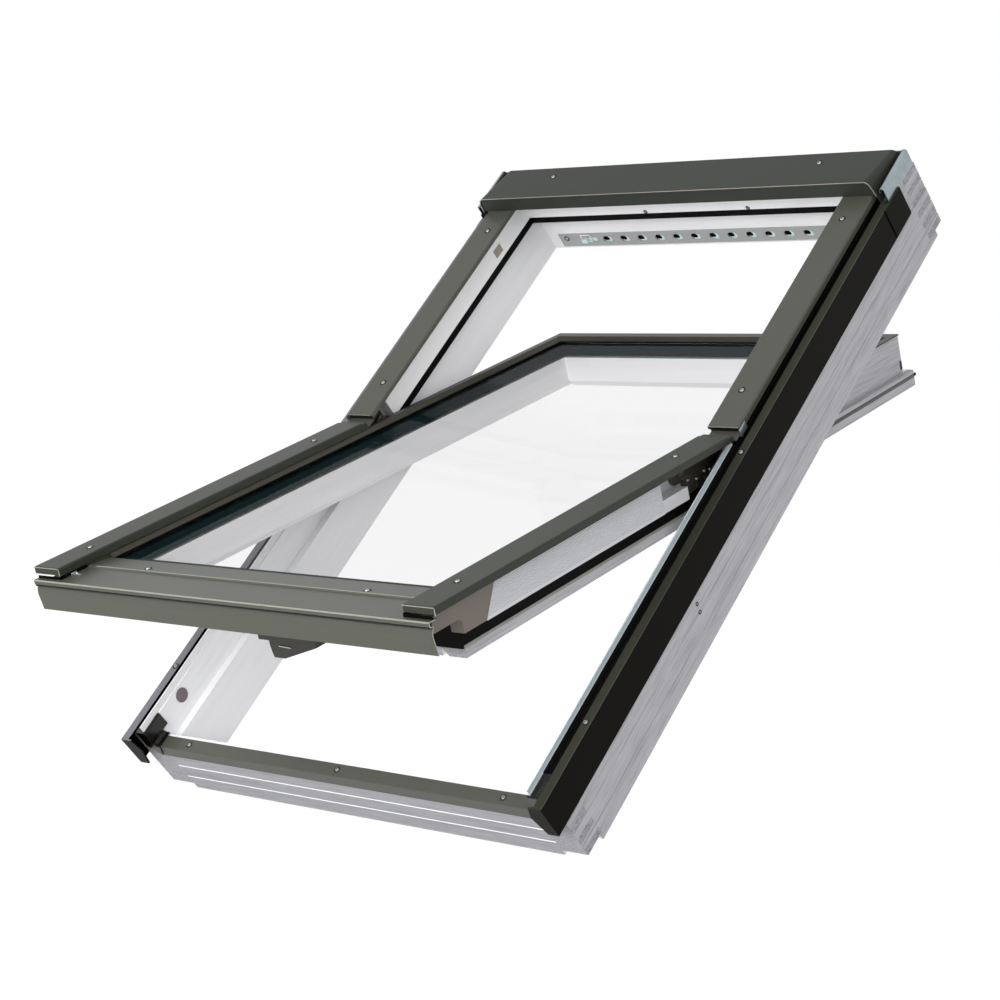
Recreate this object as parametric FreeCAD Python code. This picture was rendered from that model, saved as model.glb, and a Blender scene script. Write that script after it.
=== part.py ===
"""Centre pivot roof window: white wooden frame and sash, aluminium covers, double pane.

Every piece is drawn in the window's own directions: U runs across, V runs up the slope and W points
out of the roof. The sash is drawn closed, turned open about its hinge axis, and then the whole
window is tilted to the pitch of its roof, so that +X runs across and +Z points up.
"""
import FreeCAD, Part
import math
import os

Vec = FreeCAD.Vector
X_AXIS = Vec(1, 0, 0)

# Overall size and pose
FRAME_WIDTH = 780.0
FRAME_LENGTH = 1180.0
ROOF_PITCH = 45.0
OPEN_ANGLE = 27.5
PIVOT_RISE = 15.0
PIVOT_DROP = 5.0

# Clearances
MOVING_GAP = 5.5
TURN_GAP = 0.4
SLIDE_GAP = 0.4
SEAT_GAP = 0.3

# Frame timber
FRAME_TOP_W = 126.0
LEDGE_DROP = 47.0
BOTTOM_DROP = 30.0
SIDE_BASE = 43.5
SIDE_CREST = 30.5
BOTTOM_THICK = 24.0
TOP_THICK = 27.0
LAMELLA = 10.0
FOOT_NOTCH = 33.0
HEAD_NOTCH = 22.0
GROOVE_DEPTH = 1.6
GROOVE_HEIGHTS = (27.0, 52.0)
PLUG_R = 11.0
PLUG_V = 83.0
PLUG_DROP = 16.0
PLUG_DEPTH = 2.0
PLUG_PROUD = 1.0

# Frame metalwork
SHEET = 1.2
BEND = 1.8
PROFILE_SHEET = 2.5
PROFILE_LET_IN = 0.5
PROFILE_TOP = 13.8
PROFILE_RISE = 4.0
PROFILE_TALL = 49.0
PROFILE_TAIL = 20.0
PROFILE_HEAD_GAP = 59.0
PROFILE_CAP = 53.0
PROFILE_CAP_PROUD = 1.5
UPSTAND_SHEET = 2.0
UPSTAND_SET = 1.0
UPSTAND_HEIGHT = 11.2
BEAD_WIDTH = 6.5
BEAD_HEIGHT = 3.0
BEAD_SKIRT = 0.8
BOTTOM_COVER_WIDTH = 19.0
BOTTOM_COVER_DROP = 20.5
BOTTOM_COVER_SHEET = 1.5
SADDLE_SHEET = 2.0
SADDLE_TONGUE = 18.0
SADDLE_REACH = 10.0
SADDLE_LENGTH = 36.0
SADDLE_CROOK = 6.0

# Covers beside the panes, lower pair on the sash and upper pair on the frame
COVER_RISE = 14.0
COVER_WIDTH = 53.0
COVER_OVERLAP = 13.0
COVER_DROP = 9.8
COVER_BEND = 3.0
COVER_FOOT_V = -32.0
COVER_SPLIT_LOW = 5.0
COVER_SPLIT_HIGH = 12.9
COVER_TONGUE = 11.0
COVER_TONGUE_DROP = 1.5
COVER_UNDER_HOOD = 30.0
COVER_BOSS = 12.0
SCREW_INSET = 23.0
LOWER_SCREW_V = 47.0
SPLIT_SCREW_GAP = 95.0
STOP_SCREW_FOOT = 20.0
HOOD_SCREW_GAP = 47.0

# Hood over the top of the frame
HOOD_OVERHANG = 1.0
HOOD_RISE = 27.6
HOOD_FALL = 16.6
HOOD_FRONT_GAP = 96.0
HOOD_DEPTH = 90.0
HOOD_SET_BACK = 1.5
HOOD_SLANT = 6.5
HOOD_BEND = 9.0
HOOD_HEM = 8.5
HOOD_HEM_BEND = 2.5
BRACKET_SHEET = 1.5
BRACKET_RISE = 28.0
BRACKET_CHANNEL = 9.0
BRACKET_LEG = 8.0
BRACKET_BACK_GAP = 4.0
BRACKET_BACK_REACH = 40.0

# Stops in the upper half of the frame
STOP_FOOT_RISE = 63.0
STOP_WIDTH = 25.0
GASKET_DROP = 12.0

# Sash timber
LIP_PROUD = 10.0
LIP_LOW = 13.0
LIP_GROOVE = 5.0
LIP_HIGH = 6.0
SASH_PROUD = 5.0
SASH_THICK = 82.0
SASH_SIDE_WIDTH = 29.0
SASH_FOOT_WIDTH = 42.0
SASH_HEAD_WIDTH = 32.0
INNER_CHAMFER = 11.0
REBATE_STEP = 18.0
SASH_FOOT_GAP = 12.0
SASH_HEAD_GAP = 50.0
SASH_HEAD_LIP = 14.0

# Double pane and the profile that holds it
SEAT_DEPTH = 30.0
PANE_THICK = 4.0
PANE_CAVITY = 16.0
PANE_EDGE_GAP = 1.0
GLAZING_INSET = 9.0
GLAZING_PROUD = 2.0
GLAZING_STEPS = 4
GLAZING_FIRST = 1.5
GLAZING_SLANT = 1.2
GLAZING_HEAD = 3.0

# Ribbed strips and end pieces on the lower half of the sash
RIB_STRIP_THICK = 22.5
RIB_STRIP_RISE = 6.0
RIB_STRIP_GAP = 158.0
RIB_TAIL = 58.0
RIB_TAIL_TALL = 18.0
RIB_COUNT = 13
RIB_SHARE = 0.9
RIB_DEPTH = 1.2
END_PIECE_TAIL = 22.0
END_PIECE_LENGTH = 94.0
END_PIECE_SLANT = 25.0
END_PIECE_NOTCH_V = 30.0
END_PIECE_NOTCH_RISE = 9.6
FOOT_SEAL = 3.0
FOOT_SEAL_REACH = 32.0

# Cover over the bottom of the sash
SILL_EDGE_RISE = 2.5
SILL_RIDGE_V = 20.0
SILL_RIDGE_DROP = 0.4
SILL_STEP = 2.0
SILL_STEP_BEND = 1.0
SILL_NOSE_V = -40.0
SILL_NOSE_BEND = 1.8
SILL_NOSE_HEIGHT = 7.6
SILL_TUCK = 5.5
APRON_BULGE_DROP = 19.0
APRON_BULGE_V = -39.0
APRON_LOW_V = -35.0
APRON_DROP = 46.8
APRON_BEND = 16.0
SILL_END_INSET = 5.0
SILL_END_V = -26.0

# Curved hinges
HINGE_RADIUS = 45.0
HINGE_PIN_R = 4.0
HINGE_PLATE = 5.0
HINGE_TRACK_DEPTH = 3.5
HINGE_TRACK_SPARE = 1.5
HINGE_PIN_ANGLES = (-75.0, -47.0)
HINGE_SWING = 120.0
HINGE_BOSS_R = 7.0
HINGE_MARGIN = 14.0
HINGE_CORNER = 10.0
HINGE_HEAD_GAP = 6.0
SASH_PLATE = 3.0
SASH_PLATE_LOW = 27.0
SASH_PLATE_HEAD = 52.0
SASH_PLATE_CORNER = 12.0
LINK_SHEET = 4.0
LINK_R = 10.0
LINK_RIVETS = ((-78.5, 9.8), (-60.0, 4.5), (-40.0, 9.7), (-27.0, 6.4))
RIVET_R = 3.0
RIVET_PROUD = 2.0

# Ventilation grille and its shutter in the frame's top member
GRILLE_INSET = 21.5
GRILLE_LOW_W = 4.0
GRILLE_TALL = 27.0
GRILLE_SHEET = 1.5
SLOT_PITCH = 36.0
SLOT_LONG = 18.0
SLOT_TALL = 13.0
SLOT_FIRST_GAP = 100.0
SLOT_LAST_GAP = 46.0
KNOB_GAP = 63.0
KNOB_LONG = 12.0
KNOB_TALL = 7.0
KNOB_PROUD = 5.0
SHUTTER_THICK = 2.0
SHUTTER_TRAVEL = 18.0
CHANNEL_DEPTH = 6.0
CHANNEL_EDGE = 4.0

# Handle
HANDLE_U = 5.0
HANDLE_RISE = 21.0
HANDLE_BASE_LEFT = 47.0
HANDLE_BASE_RIGHT = 67.0
HANDLE_BASE_WIDE = 20.0
HANDLE_BASE_THICK = 14.0
HANDLE_BASE_CORNER = 6.0
HANDLE_GRIP = 18.0
HANDLE_HEEL = 25.0
HANDLE_TIP = 62.0
HANDLE_FLAT = 24.0
HANDLE_DROP = 24.0
HANDLE_WEB = 3.0
HANDLE_RIM = 3.5

# Worked out from the sizes above
HALF = FRAME_WIDTH / 2
PIVOT_V = FRAME_LENGTH / 2 + PIVOT_RISE
LEDGE_W = FRAME_TOP_W - LEDGE_DROP
BOTTOM_TOP_W = FRAME_TOP_W - BOTTOM_DROP
PROFILE_LOW_W = FRAME_TOP_W - PROFILE_TALL
SASH_TOP_W = FRAME_TOP_W + SASH_PROUD
SASH_ROOM_W = SASH_TOP_W - SASH_THICK
GLASS_SEAT_W = SASH_TOP_W - SEAT_DEPTH
COVER_TOP_W = SASH_TOP_W + COVER_RISE
PIVOT_W = COVER_TOP_W - PIVOT_DROP
REBATE_FACE = HALF - SIDE_CREST
ROOM_FACE = HALF - SIDE_BASE
TOP_FACE_V = FRAME_LENGTH - TOP_THICK
BOTTOM_COVER_W = BOTTOM_TOP_W + BOTTOM_COVER_SHEET
PROFILE_OUTER = HALF - PROFILE_LET_IN + PROFILE_SHEET
PROFILE_INNER = PROFILE_OUTER - PROFILE_TOP
PROFILE_TOP_W = FRAME_TOP_W + PROFILE_RISE
PROFILE_HEAD_V = FRAME_LENGTH - PROFILE_HEAD_GAP
BRACKET_LOW_W = PROFILE_TOP_W + SEAT_GAP
BRACKET_TOP_W = FRAME_TOP_W + BRACKET_RISE
LIP_HALF = ROOM_FACE - MOVING_GAP
BODY_HALF = LIP_HALF - LIP_PROUD
STOP_INNER = BODY_HALF + MOVING_GAP
INNER_HALF = BODY_HALF - SASH_SIDE_WIDTH
REBATE_HALF = INNER_HALF + REBATE_STEP
SASH_FOOT_V = BOTTOM_THICK + SASH_FOOT_GAP
SASH_FOOT_INNER_V = SASH_FOOT_V + SASH_FOOT_WIDTH
SASH_HEAD_BODY_V = TOP_FACE_V - SASH_HEAD_GAP
SASH_HEAD_INNER_V = SASH_HEAD_BODY_V - SASH_HEAD_WIDTH
PANE_FOOT_V = SASH_FOOT_INNER_V - REBATE_STEP
PANE_HEAD_V = SASH_HEAD_INNER_V + REBATE_STEP
LIP_LOW_W = SASH_ROOM_W + LIP_LOW
LIP_GROOVE_W = LIP_LOW_W + LIP_GROOVE
LIP_HIGH_W = LIP_GROOVE_W + LIP_HIGH
GLASS_TOP_W = GLASS_SEAT_W + 2 * PANE_THICK + PANE_CAVITY
GLAZING_TOP_W = SASH_TOP_W + GLAZING_PROUD
GLAZING_RISE = (GLAZING_TOP_W - GLASS_TOP_W - GLAZING_FIRST - GLAZING_SLANT) / (GLAZING_STEPS - 1)
COVER_INNER = BODY_HALF - COVER_OVERLAP
COVER_OUTER = COVER_INNER + COVER_WIDTH
COVER_SCREW_U = COVER_INNER + SCREW_INSET
COVER_UNDER_W = COVER_TOP_W - SHEET
STOP_FOOT_V = PIVOT_V + STOP_FOOT_RISE
STOP_TOP_V = TOP_FACE_V - STOP_WIDTH
SPLIT_SCREW_V = PIVOT_V - COVER_SPLIT_LOW - SPLIT_SCREW_GAP
HOOD_TOP_W = COVER_TOP_W + HOOD_RISE
HOOD_FRONT_V = FRAME_LENGTH - HOOD_FRONT_GAP
HOOD_BACK_V = HOOD_FRONT_V + HOOD_DEPTH
HOOD_HALF = HALF + HOOD_OVERHANG
STOP_SCREWS_V = (STOP_FOOT_V + STOP_SCREW_FOOT, HOOD_FRONT_V - HOOD_SCREW_GAP)
RIB_STRIP_LOW_W = LEDGE_W + RIB_STRIP_RISE
RIB_STRIP_HIGH_W = FRAME_TOP_W
RIB_STRIP_HEAD_V = PIVOT_V - RIB_STRIP_GAP
END_PIECE_FOOT_V = -END_PIECE_TAIL
END_PIECE_HEAD_V = END_PIECE_FOOT_V + END_PIECE_LENGTH
END_PIECE_NOTCH_W = BOTTOM_TOP_W + END_PIECE_NOTCH_RISE
SILL_RIDGE_W = SASH_TOP_W - SILL_RIDGE_DROP
APRON_LOW_W = SILL_RIDGE_W - APRON_DROP
SILL_HALF = COVER_OUTER - SILL_END_INSET
SEAL_SPLIT_V = PIVOT_V - HINGE_RADIUS
GRILLE_HALF = ROOM_FACE - GRILLE_INSET
GRILLE_HIGH_W = GRILLE_LOW_W + GRILLE_TALL
GRILLE_MIDDLE_W = GRILLE_LOW_W + GRILLE_TALL / 2
SLOT_COUNT = int((2 * GRILLE_HALF - SLOT_FIRST_GAP - SLOT_LAST_GAP) / SLOT_PITCH) + 1
KNOB_U = -GRILLE_HALF + KNOB_GAP
HANDLE_V = SASH_FOOT_V + HANDLE_RISE
ORIGIN = Vec(0, BOTTOM_THICK / 2, 0)


def prism_v(outline, v_low, v_high):
    """Solid whose (u, w) outline runs up the slope from v_low to v_high."""
    points = [Vec(u, v_low, w) for u, w in outline]
    face = Part.Face(Part.makePolygon(points + [points[0]]))
    return face.extrude(Vec(0, v_high - v_low, 0))


def prism_u(outline, u_low, u_high):
    """Solid whose (v, w) outline runs across from u_low to u_high."""
    points = [Vec(u_low, v, w) for v, w in outline]
    face = Part.Face(Part.makePolygon(points + [points[0]]))
    return face.extrude(Vec(u_high - u_low, 0, 0))


def block(u, v, w):
    """Box between the low and high values of each direction."""
    return Part.makeBox(u[1] - u[0], v[1] - v[0], w[1] - w[0], Vec(u[0], v[0], w[0]))


def peg(radius, length, base, direction):
    """Round peg from a base point along a direction."""
    return Part.makeCylinder(radius, length, base, direction)


def mirrored(shape):
    """The same piece on the left side."""
    return shape.mirror(Vec(0, 0, 0), X_AXIS)


def joined(shapes):
    """One solid from pieces that overlap or share faces."""
    whole = shapes[0]
    for shape in shapes[1:]:
        whole = whole.fuse(shape)
    return whole.removeSplitter()


def on_frame(shape):
    """Tilt a fixed piece to the roof's pitch, about the foot of the window."""
    placed = shape.copy()
    placed.translate(-ORIGIN)
    placed.rotate(Vec(0, 0, 0), X_AXIS, ROOF_PITCH)
    return placed


def on_sash(shape):
    """Open a sash piece about the hinge axis, then tilt it with the frame."""
    turned = shape.copy()
    turned.rotate(Vec(0, PIVOT_V, PIVOT_W), X_AXIS, -OPEN_ANGLE)
    return on_frame(turned)


def save(shape, name):
    """Write one node as a STEP file."""
    if not shape.isValid():
        raise ValueError(name + " is not a valid solid")
    shape.exportStep(os.path.join("parts", name + ".step"))


def save_pair(shape, name, place):
    """Write a right-hand piece and its mirror image."""
    save(place(shape), name.format("right"))
    save(place(mirrored(shape)), name.format("left"))


def across(a, b):
    """Point of a section that runs up the slope, from its (u, w)."""
    return Vec(a, 0, b)


def along(a, b):
    """Point of a section that runs across, from its (v, w)."""
    return Vec(0, a, b)


def bent_edges(points, radii, place):
    """Lines through the points, with an arc of the given radius at each inner corner."""
    edges = []
    start = points[0]
    for before, corner, after, radius in zip(points[:-2], points[1:-1], points[2:], radii):
        if radius == 0:
            edges.append(Part.makeLine(place(*start), place(*corner)))
            start = corner
            continue
        into = unit(before, corner)
        out = unit(corner, after)
        dot = max(-1.0, min(1.0, into[0] * out[0] + into[1] * out[1]))
        half_turn = math.acos(dot) / 2
        reach = radius * math.tan(half_turn)
        first = (corner[0] - into[0] * reach, corner[1] - into[1] * reach)
        last = (corner[0] + out[0] * reach, corner[1] + out[1] * reach)
        inward = unit(into, out)
        offset = radius / math.cos(half_turn) - radius
        middle = (corner[0] + inward[0] * offset, corner[1] + inward[1] * offset)
        edges.append(Part.makeLine(place(*start), place(*first)))
        edges.append(Part.Arc(place(*first), place(*middle), place(*last)).toShape())
        start = last
    edges.append(Part.makeLine(place(*start), place(*points[-1])))
    return edges


def unit(start, end):
    """Direction from one 2-D point to another, of length one."""
    across_by, up_by = end[0] - start[0], end[1] - start[1]
    length = math.hypot(across_by, up_by)
    return across_by / length, up_by / length


def sheet_face(points, bends, thick, place):
    """Section of a folded sheet whose face follows the points, with the sheet on their left.

    Each bend is the inside radius at that corner.
    """
    normals = []
    for start, end in zip(points[:-1], points[1:]):
        way = unit(start, end)
        normals.append((-way[1], way[0]))
    back = [(points[0][0] + normals[0][0] * thick, points[0][1] + normals[0][1] * thick)]
    near, far = [], []
    for corner, before, after, bend in zip(points[1:-1], normals[:-1], normals[1:], bends):
        scale = thick / (1 + before[0] * after[0] + before[1] * after[1])
        back.append((corner[0] + (before[0] + after[0]) * scale, corner[1] + (before[1] + after[1]) * scale))
        turns_left = before[0] * after[1] - before[1] * after[0] > 0
        near.append(bend + thick if turns_left else bend)
        far.append(bend if turns_left else bend + thick)
    last = normals[-1]
    back.append((points[-1][0] + last[0] * thick, points[-1][1] + last[1] * thick))
    edges = bent_edges(points, near, place)
    edges.append(Part.makeLine(place(*points[-1]), place(*back[-1])))
    edges.extend(bent_edges(back[::-1], far[::-1], place))
    edges.append(Part.makeLine(place(*back[0]), place(*points[0])))
    return Part.Face(Part.Wire(edges))


def sheet_along(points, bends, thick, v_low, v_high):
    """Folded sheet with a (u, w) section, from v_low to v_high."""
    sheet = sheet_face(points, bends, thick, across).extrude(Vec(0, v_high - v_low, 0))
    sheet.translate(Vec(0, v_low, 0))
    return sheet


def sheet_across(points, bends, thick, u_low, u_high):
    """Folded sheet with a (v, w) section, from u_low to u_high."""
    sheet = sheet_face(points, bends, thick, along).extrude(Vec(u_high - u_low, 0, 0))
    sheet.translate(Vec(u_low, 0, 0))
    return sheet


def edges_along(shape, axis):
    """Straight edges of a shape that run in one direction: 0 for U, 1 for V and 2 for W."""
    found = []
    for edge in shape.Edges:
        if len(edge.Vertexes) == 2:
            step = edge.Vertexes[1].Point - edge.Vertexes[0].Point
            others = [abs(step[i]) for i in range(3) if i != axis]
            if max(others) < 0.001:
                found.append(edge)
    return found


def side_member():
    """Frame timber on the right: thick at the room side, stepped back above the ledge, grooved outside."""
    inset = HALF - PROFILE_LET_IN
    outline = [(HALF, 0), (HALF, PROFILE_LOW_W), (inset, PROFILE_LOW_W), (inset, FRAME_TOP_W),
               (REBATE_FACE, FRAME_TOP_W), (REBATE_FACE, LEDGE_W), (ROOM_FACE, LEDGE_W), (ROOM_FACE, 0)]
    timber = prism_v(outline, 0, FRAME_LENGTH)
    sill = block((ROOM_FACE, REBATE_FACE), (0, BOTTOM_THICK), (LEDGE_W, BOTTOM_TOP_W))
    timber = timber.fuse(sill).removeSplitter()
    for v_low, v_high in ((0, FOOT_NOTCH), (FRAME_LENGTH - HEAD_NOTCH, FRAME_LENGTH)):
        timber = timber.cut(block((ROOM_FACE, HALF), (v_low, v_high), (0, LAMELLA)))
    for height in GROOVE_HEIGHTS:
        groove = [(HALF, height - GROOVE_DEPTH), (HALF, height + GROOVE_DEPTH), (HALF - GROOVE_DEPTH, height)]
        timber = timber.cut(prism_v(groove, 0, FRAME_LENGTH))
    return timber.cut(peg(PLUG_R, PLUG_DEPTH, Vec(REBATE_FACE, PLUG_V, FRAME_TOP_W - PLUG_DROP), X_AXIS))


def grooved_member(v_low, v_high, top_w, outer_v):
    """Timber between the side members with the same grooves on its outer face."""
    timber = block((-ROOM_FACE, ROOM_FACE), (v_low, v_high), (0, top_w))
    inward = 1 if outer_v == v_low else -1
    for height in GROOVE_HEIGHTS:
        groove = [(outer_v, height - GROOVE_DEPTH), (outer_v, height + GROOVE_DEPTH),
                  (outer_v + inward * GROOVE_DEPTH, height)]
        timber = timber.cut(prism_u(groove, -ROOM_FACE, ROOM_FACE))
    return timber


def bottom_member():
    """Low frame timber that the sash's apron passes over."""
    return grooved_member(0, BOTTOM_THICK, BOTTOM_TOP_W, 0)


def top_member():
    """Top frame timber with the shallow channel that the vent shutter slides in."""
    timber = grooved_member(TOP_FACE_V, FRAME_LENGTH, FRAME_TOP_W, FRAME_LENGTH)
    channel = block((-GRILLE_HALF + CHANNEL_EDGE, GRILLE_HALF - CHANNEL_EDGE),
                    (TOP_FACE_V, TOP_FACE_V + CHANNEL_DEPTH),
                    (GRILLE_LOW_W + CHANNEL_EDGE, GRILLE_HIGH_W - CHANNEL_EDGE))
    return timber.cut(channel)


def side_profile():
    """Long angle on the outer edge of a side member, with a folded foot and a wider cap on top."""
    outer, inner, top = PROFILE_OUTER, PROFILE_INNER, PROFILE_TOP_W
    back = outer - PROFILE_SHEET
    angle = prism_v([(back, PROFILE_LOW_W), (outer, PROFILE_LOW_W), (outer, top), (inner, top),
                     (inner, FRAME_TOP_W), (inner + PROFILE_SHEET, FRAME_TOP_W),
                     (inner + PROFILE_SHEET, top - PROFILE_SHEET), (back, top - PROFILE_SHEET)],
                    -PROFILE_TAIL, PROFILE_HEAD_V)
    foot = prism_v([(outer, PROFILE_LOW_W), (outer, top), (inner - PROFILE_TOP / 2, top),
                    (inner - PROFILE_TOP, top - PROFILE_TOP * 1.5), (inner - PROFILE_TOP * 0.3, PROFILE_LOW_W)],
                   -PROFILE_TAIL, -PROFILE_TAIL + PROFILE_SHEET)
    cap = block((outer, outer + PROFILE_CAP_PROUD), (PROFILE_HEAD_V - PROFILE_CAP, PROFILE_HEAD_V),
                (PROFILE_LOW_W + PROFILE_SHEET, top))
    return joined([angle, foot, cap])


def upstand():
    """Thin strip that stands on the crest of the lower half of a side member."""
    inner = REBATE_FACE + UPSTAND_SET
    return block((inner, inner + UPSTAND_SHEET), (0, PIVOT_V - COVER_SPLIT_LOW),
                 (FRAME_TOP_W, FRAME_TOP_W + UPSTAND_HEIGHT))


def side_bead():
    """Black weather bead beside the upstand, with a thin skirt up to the side profile."""
    inner = REBATE_FACE + UPSTAND_SET + UPSTAND_SHEET
    edge = PROFILE_INNER - SEAT_GAP
    skirt = FRAME_TOP_W + BEAD_SKIRT
    crest = FRAME_TOP_W + BEAD_HEIGHT
    outline = [(inner, FRAME_TOP_W), (edge, FRAME_TOP_W), (edge, skirt), (inner + BEAD_WIDTH, skirt),
               (inner + BEAD_WIDTH * 0.8, crest), (inner, crest)]
    return prism_v(outline, SADDLE_LENGTH, PROFILE_HEAD_V)


def bottom_cover():
    """Angle on the outer edge of the bottom member."""
    half = REBATE_FACE - SEAT_GAP
    return sheet_across([(0, BOTTOM_COVER_W - BOTTOM_COVER_DROP), (0, BOTTOM_TOP_W),
                         (BOTTOM_COVER_WIDTH, BOTTOM_TOP_W)], [0], BOTTOM_COVER_SHEET, -half, half)


def corner_piece():
    """Moulded saddle over the foot of a side member, where it meets the bottom cover."""
    outer = PROFILE_INNER - SADDLE_SHEET
    step = BOTTOM_COVER_W
    top = FRAME_TOP_W + SADDLE_SHEET
    cheek = REBATE_FACE - SADDLE_SHEET
    crook = step + SADDLE_CROOK
    crest = [(outer, top), (REBATE_FACE, top), (cheek, top - SADDLE_SHEET), (cheek, crook)]
    foot = [(cheek + SADDLE_SHEET - SADDLE_CROOK, step + SADDLE_SHEET),
             (cheek - SADDLE_REACH, step + SADDLE_SHEET),
            (cheek - SADDLE_REACH, step)]
    shell = prism_v([(outer, FRAME_TOP_W)] + crest + foot + [(REBATE_FACE, step), (REBATE_FACE, FRAME_TOP_W)],
                    0, BOTTOM_THICK)
    tail = prism_v([(outer, FRAME_TOP_W)] + crest + [(REBATE_FACE, crook), (REBATE_FACE, FRAME_TOP_W)],
                   BOTTOM_THICK, SADDLE_LENGTH)
    shell = shell.fuse(tail).cut(block((REBATE_FACE, REBATE_FACE + UPSTAND_SET + UPSTAND_SHEET),
                                       (0, SADDLE_LENGTH), (FRAME_TOP_W, top)))
    tongue = step - SADDLE_TONGUE
    front = prism_v([(outer, step)] + crest + foot + [(cheek - SADDLE_SHEET, tongue),
                                                      (cheek + SADDLE_SHEET / 2, tongue)],
                    -BOTTOM_COVER_SHEET - SADDLE_SHEET, -BOTTOM_COVER_SHEET)
    bridge = block((cheek, outer), (-BOTTOM_COVER_SHEET, 0), (step, top))
    return joined([shell, front, bridge])


def cover_path(top, drop, hem_w):
    """Fold line of a side cover, from its inner hem over the top to its outer flange."""
    return [(COVER_INNER, hem_w), (COVER_INNER, top), (COVER_OUTER, top), (COVER_OUTER, top - drop)]


def upper_cover():
    """Side cover on the upper half of the frame; its top end runs in under the hood."""
    path = cover_path(COVER_TOP_W, COVER_DROP, GLAZING_TOP_W + MOVING_GAP)[::-1]
    return sheet_along(path, [BEND, BEND], SHEET, PIVOT_V + COVER_SPLIT_HIGH, HOOD_FRONT_V + COVER_UNDER_HOOD)


def rounded_tray(inset):
    """Closed foot end of a lower cover, as a solid block with rounded edges."""
    low_w = min(COVER_TOP_W - COVER_DROP, GLAZING_TOP_W + SEAT_GAP)
    head_v = PIVOT_V - COVER_SPLIT_LOW - COVER_TONGUE
    tray = block((COVER_INNER + inset, COVER_OUTER - inset), (COVER_FOOT_V + inset, head_v),
                 (low_w - inset * 2, COVER_TOP_W - inset))
    upright = [edge for edge in edges_along(tray, 2) if edge.Vertexes[0].Y < COVER_FOOT_V + inset + 1]
    tray = tray.makeFillet(COVER_BEND + 1 - inset, upright)
    top = [edge for edge in tray.Edges if edge.BoundBox.ZMin > COVER_TOP_W - inset - 0.01
           and edge.BoundBox.YMin < head_v - 1]
    return tray.makeFillet(COVER_BEND - inset, top)


def lower_cover():
    """Side cover on the lower half of the sash: a folded tray with a closed, rounded foot."""
    head_v = PIVOT_V - COVER_SPLIT_LOW - COVER_TONGUE
    tray = rounded_tray(0).cut(rounded_tray(SHEET))
    hem_w = GLAZING_TOP_W + SEAT_GAP
    flange_w = COVER_TOP_W - COVER_DROP
    middle = COVER_SCREW_U
    low_w = min(hem_w, flange_w)
    trims = [((COVER_INNER - 1, middle), (END_PIECE_FOOT_V, head_v + 1), hem_w),
             ((COVER_INNER - 1, middle), (COVER_FOOT_V - 1, END_PIECE_FOOT_V), flange_w),
             ((middle, COVER_OUTER + 1), (COVER_FOOT_V - 1, head_v + 1), flange_w)]
    for u, v, edge_w in trims:
        if edge_w > low_w:
            tray = tray.cut(block(u, v, (low_w - SHEET * 2, edge_w)))
    tongue = cover_path(COVER_TOP_W - COVER_TONGUE_DROP, COVER_DROP - COVER_TONGUE_DROP, hem_w)[::-1]
    tongue[0] = (tongue[0][0] - SHEET, tongue[0][1])
    tongue[1] = (tongue[1][0] - SHEET, tongue[1][1])
    tongue = sheet_along(tongue, [BEND, BEND], SHEET, head_v - SHEET, head_v + COVER_TONGUE)
    return joined([tray, tongue])


def hood_path(top_w):
    """Fold line of the hood's section, from the hem on the left over the top to the hem on the right."""
    low = PROFILE_TOP_W + SEAT_GAP
    outer = HOOD_HALF - BRACKET_SHEET - SEAT_GAP - SHEET
    inner = outer - HOOD_HEM + SHEET
    right = [(inner - HOOD_SLANT, top_w), (inner, low + SHEET), (outer, low + SHEET), (outer, low + HOOD_HEM)]
    return [(-u, w) for u, w in right[::-1]] + right


def hood_section(v, top_w):
    """Closed outline of the folded sheet at one place up the slope."""
    bends = [HOOD_HEM_BEND, HOOD_HEM_BEND, HOOD_BEND, HOOD_BEND, HOOD_HEM_BEND, HOOD_HEM_BEND]
    face = sheet_face(hood_path(top_w)[::-1], bends, SHEET, across)
    face.translate(Vec(0, v, 0))
    return face.OuterWire


def hood_front():
    """Closed front of the hood, set back a little and rounded with the fold it meets."""
    foot_w = COVER_TOP_W + SEAT_GAP
    corner, base = hood_path(HOOD_TOP_W)[4:6]
    inset = SHEET * 0.8
    foot_u = base[0] - (foot_w - base[1]) * HOOD_SLANT / (HOOD_TOP_W - base[1]) - inset
    right = [(corner[0] - inset, HOOD_TOP_W - inset), (foot_u, foot_w)]
    points = [(-u, w) for u, w in right[::-1]] + right
    edges = bent_edges(points, [HOOD_BEND, HOOD_BEND], across)
    edges.append(Part.makeLine(across(*points[-1]), across(*points[0])))
    front = Part.Face(Part.Wire(edges)).extrude(Vec(0, SHEET, 0))
    front.translate(Vec(0, HOOD_FRONT_V + HOOD_SET_BACK, 0))
    return front


def top_hood():
    """Folded hood that falls towards the back, with ends that turn up in a hem and a closed front."""
    low_end = hood_section(HOOD_FRONT_V, HOOD_TOP_W)
    high_end = hood_section(HOOD_BACK_V, HOOD_TOP_W - HOOD_FALL)
    return joined([Part.makeLoft([low_end, high_end], True, True), hood_front()])


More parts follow.
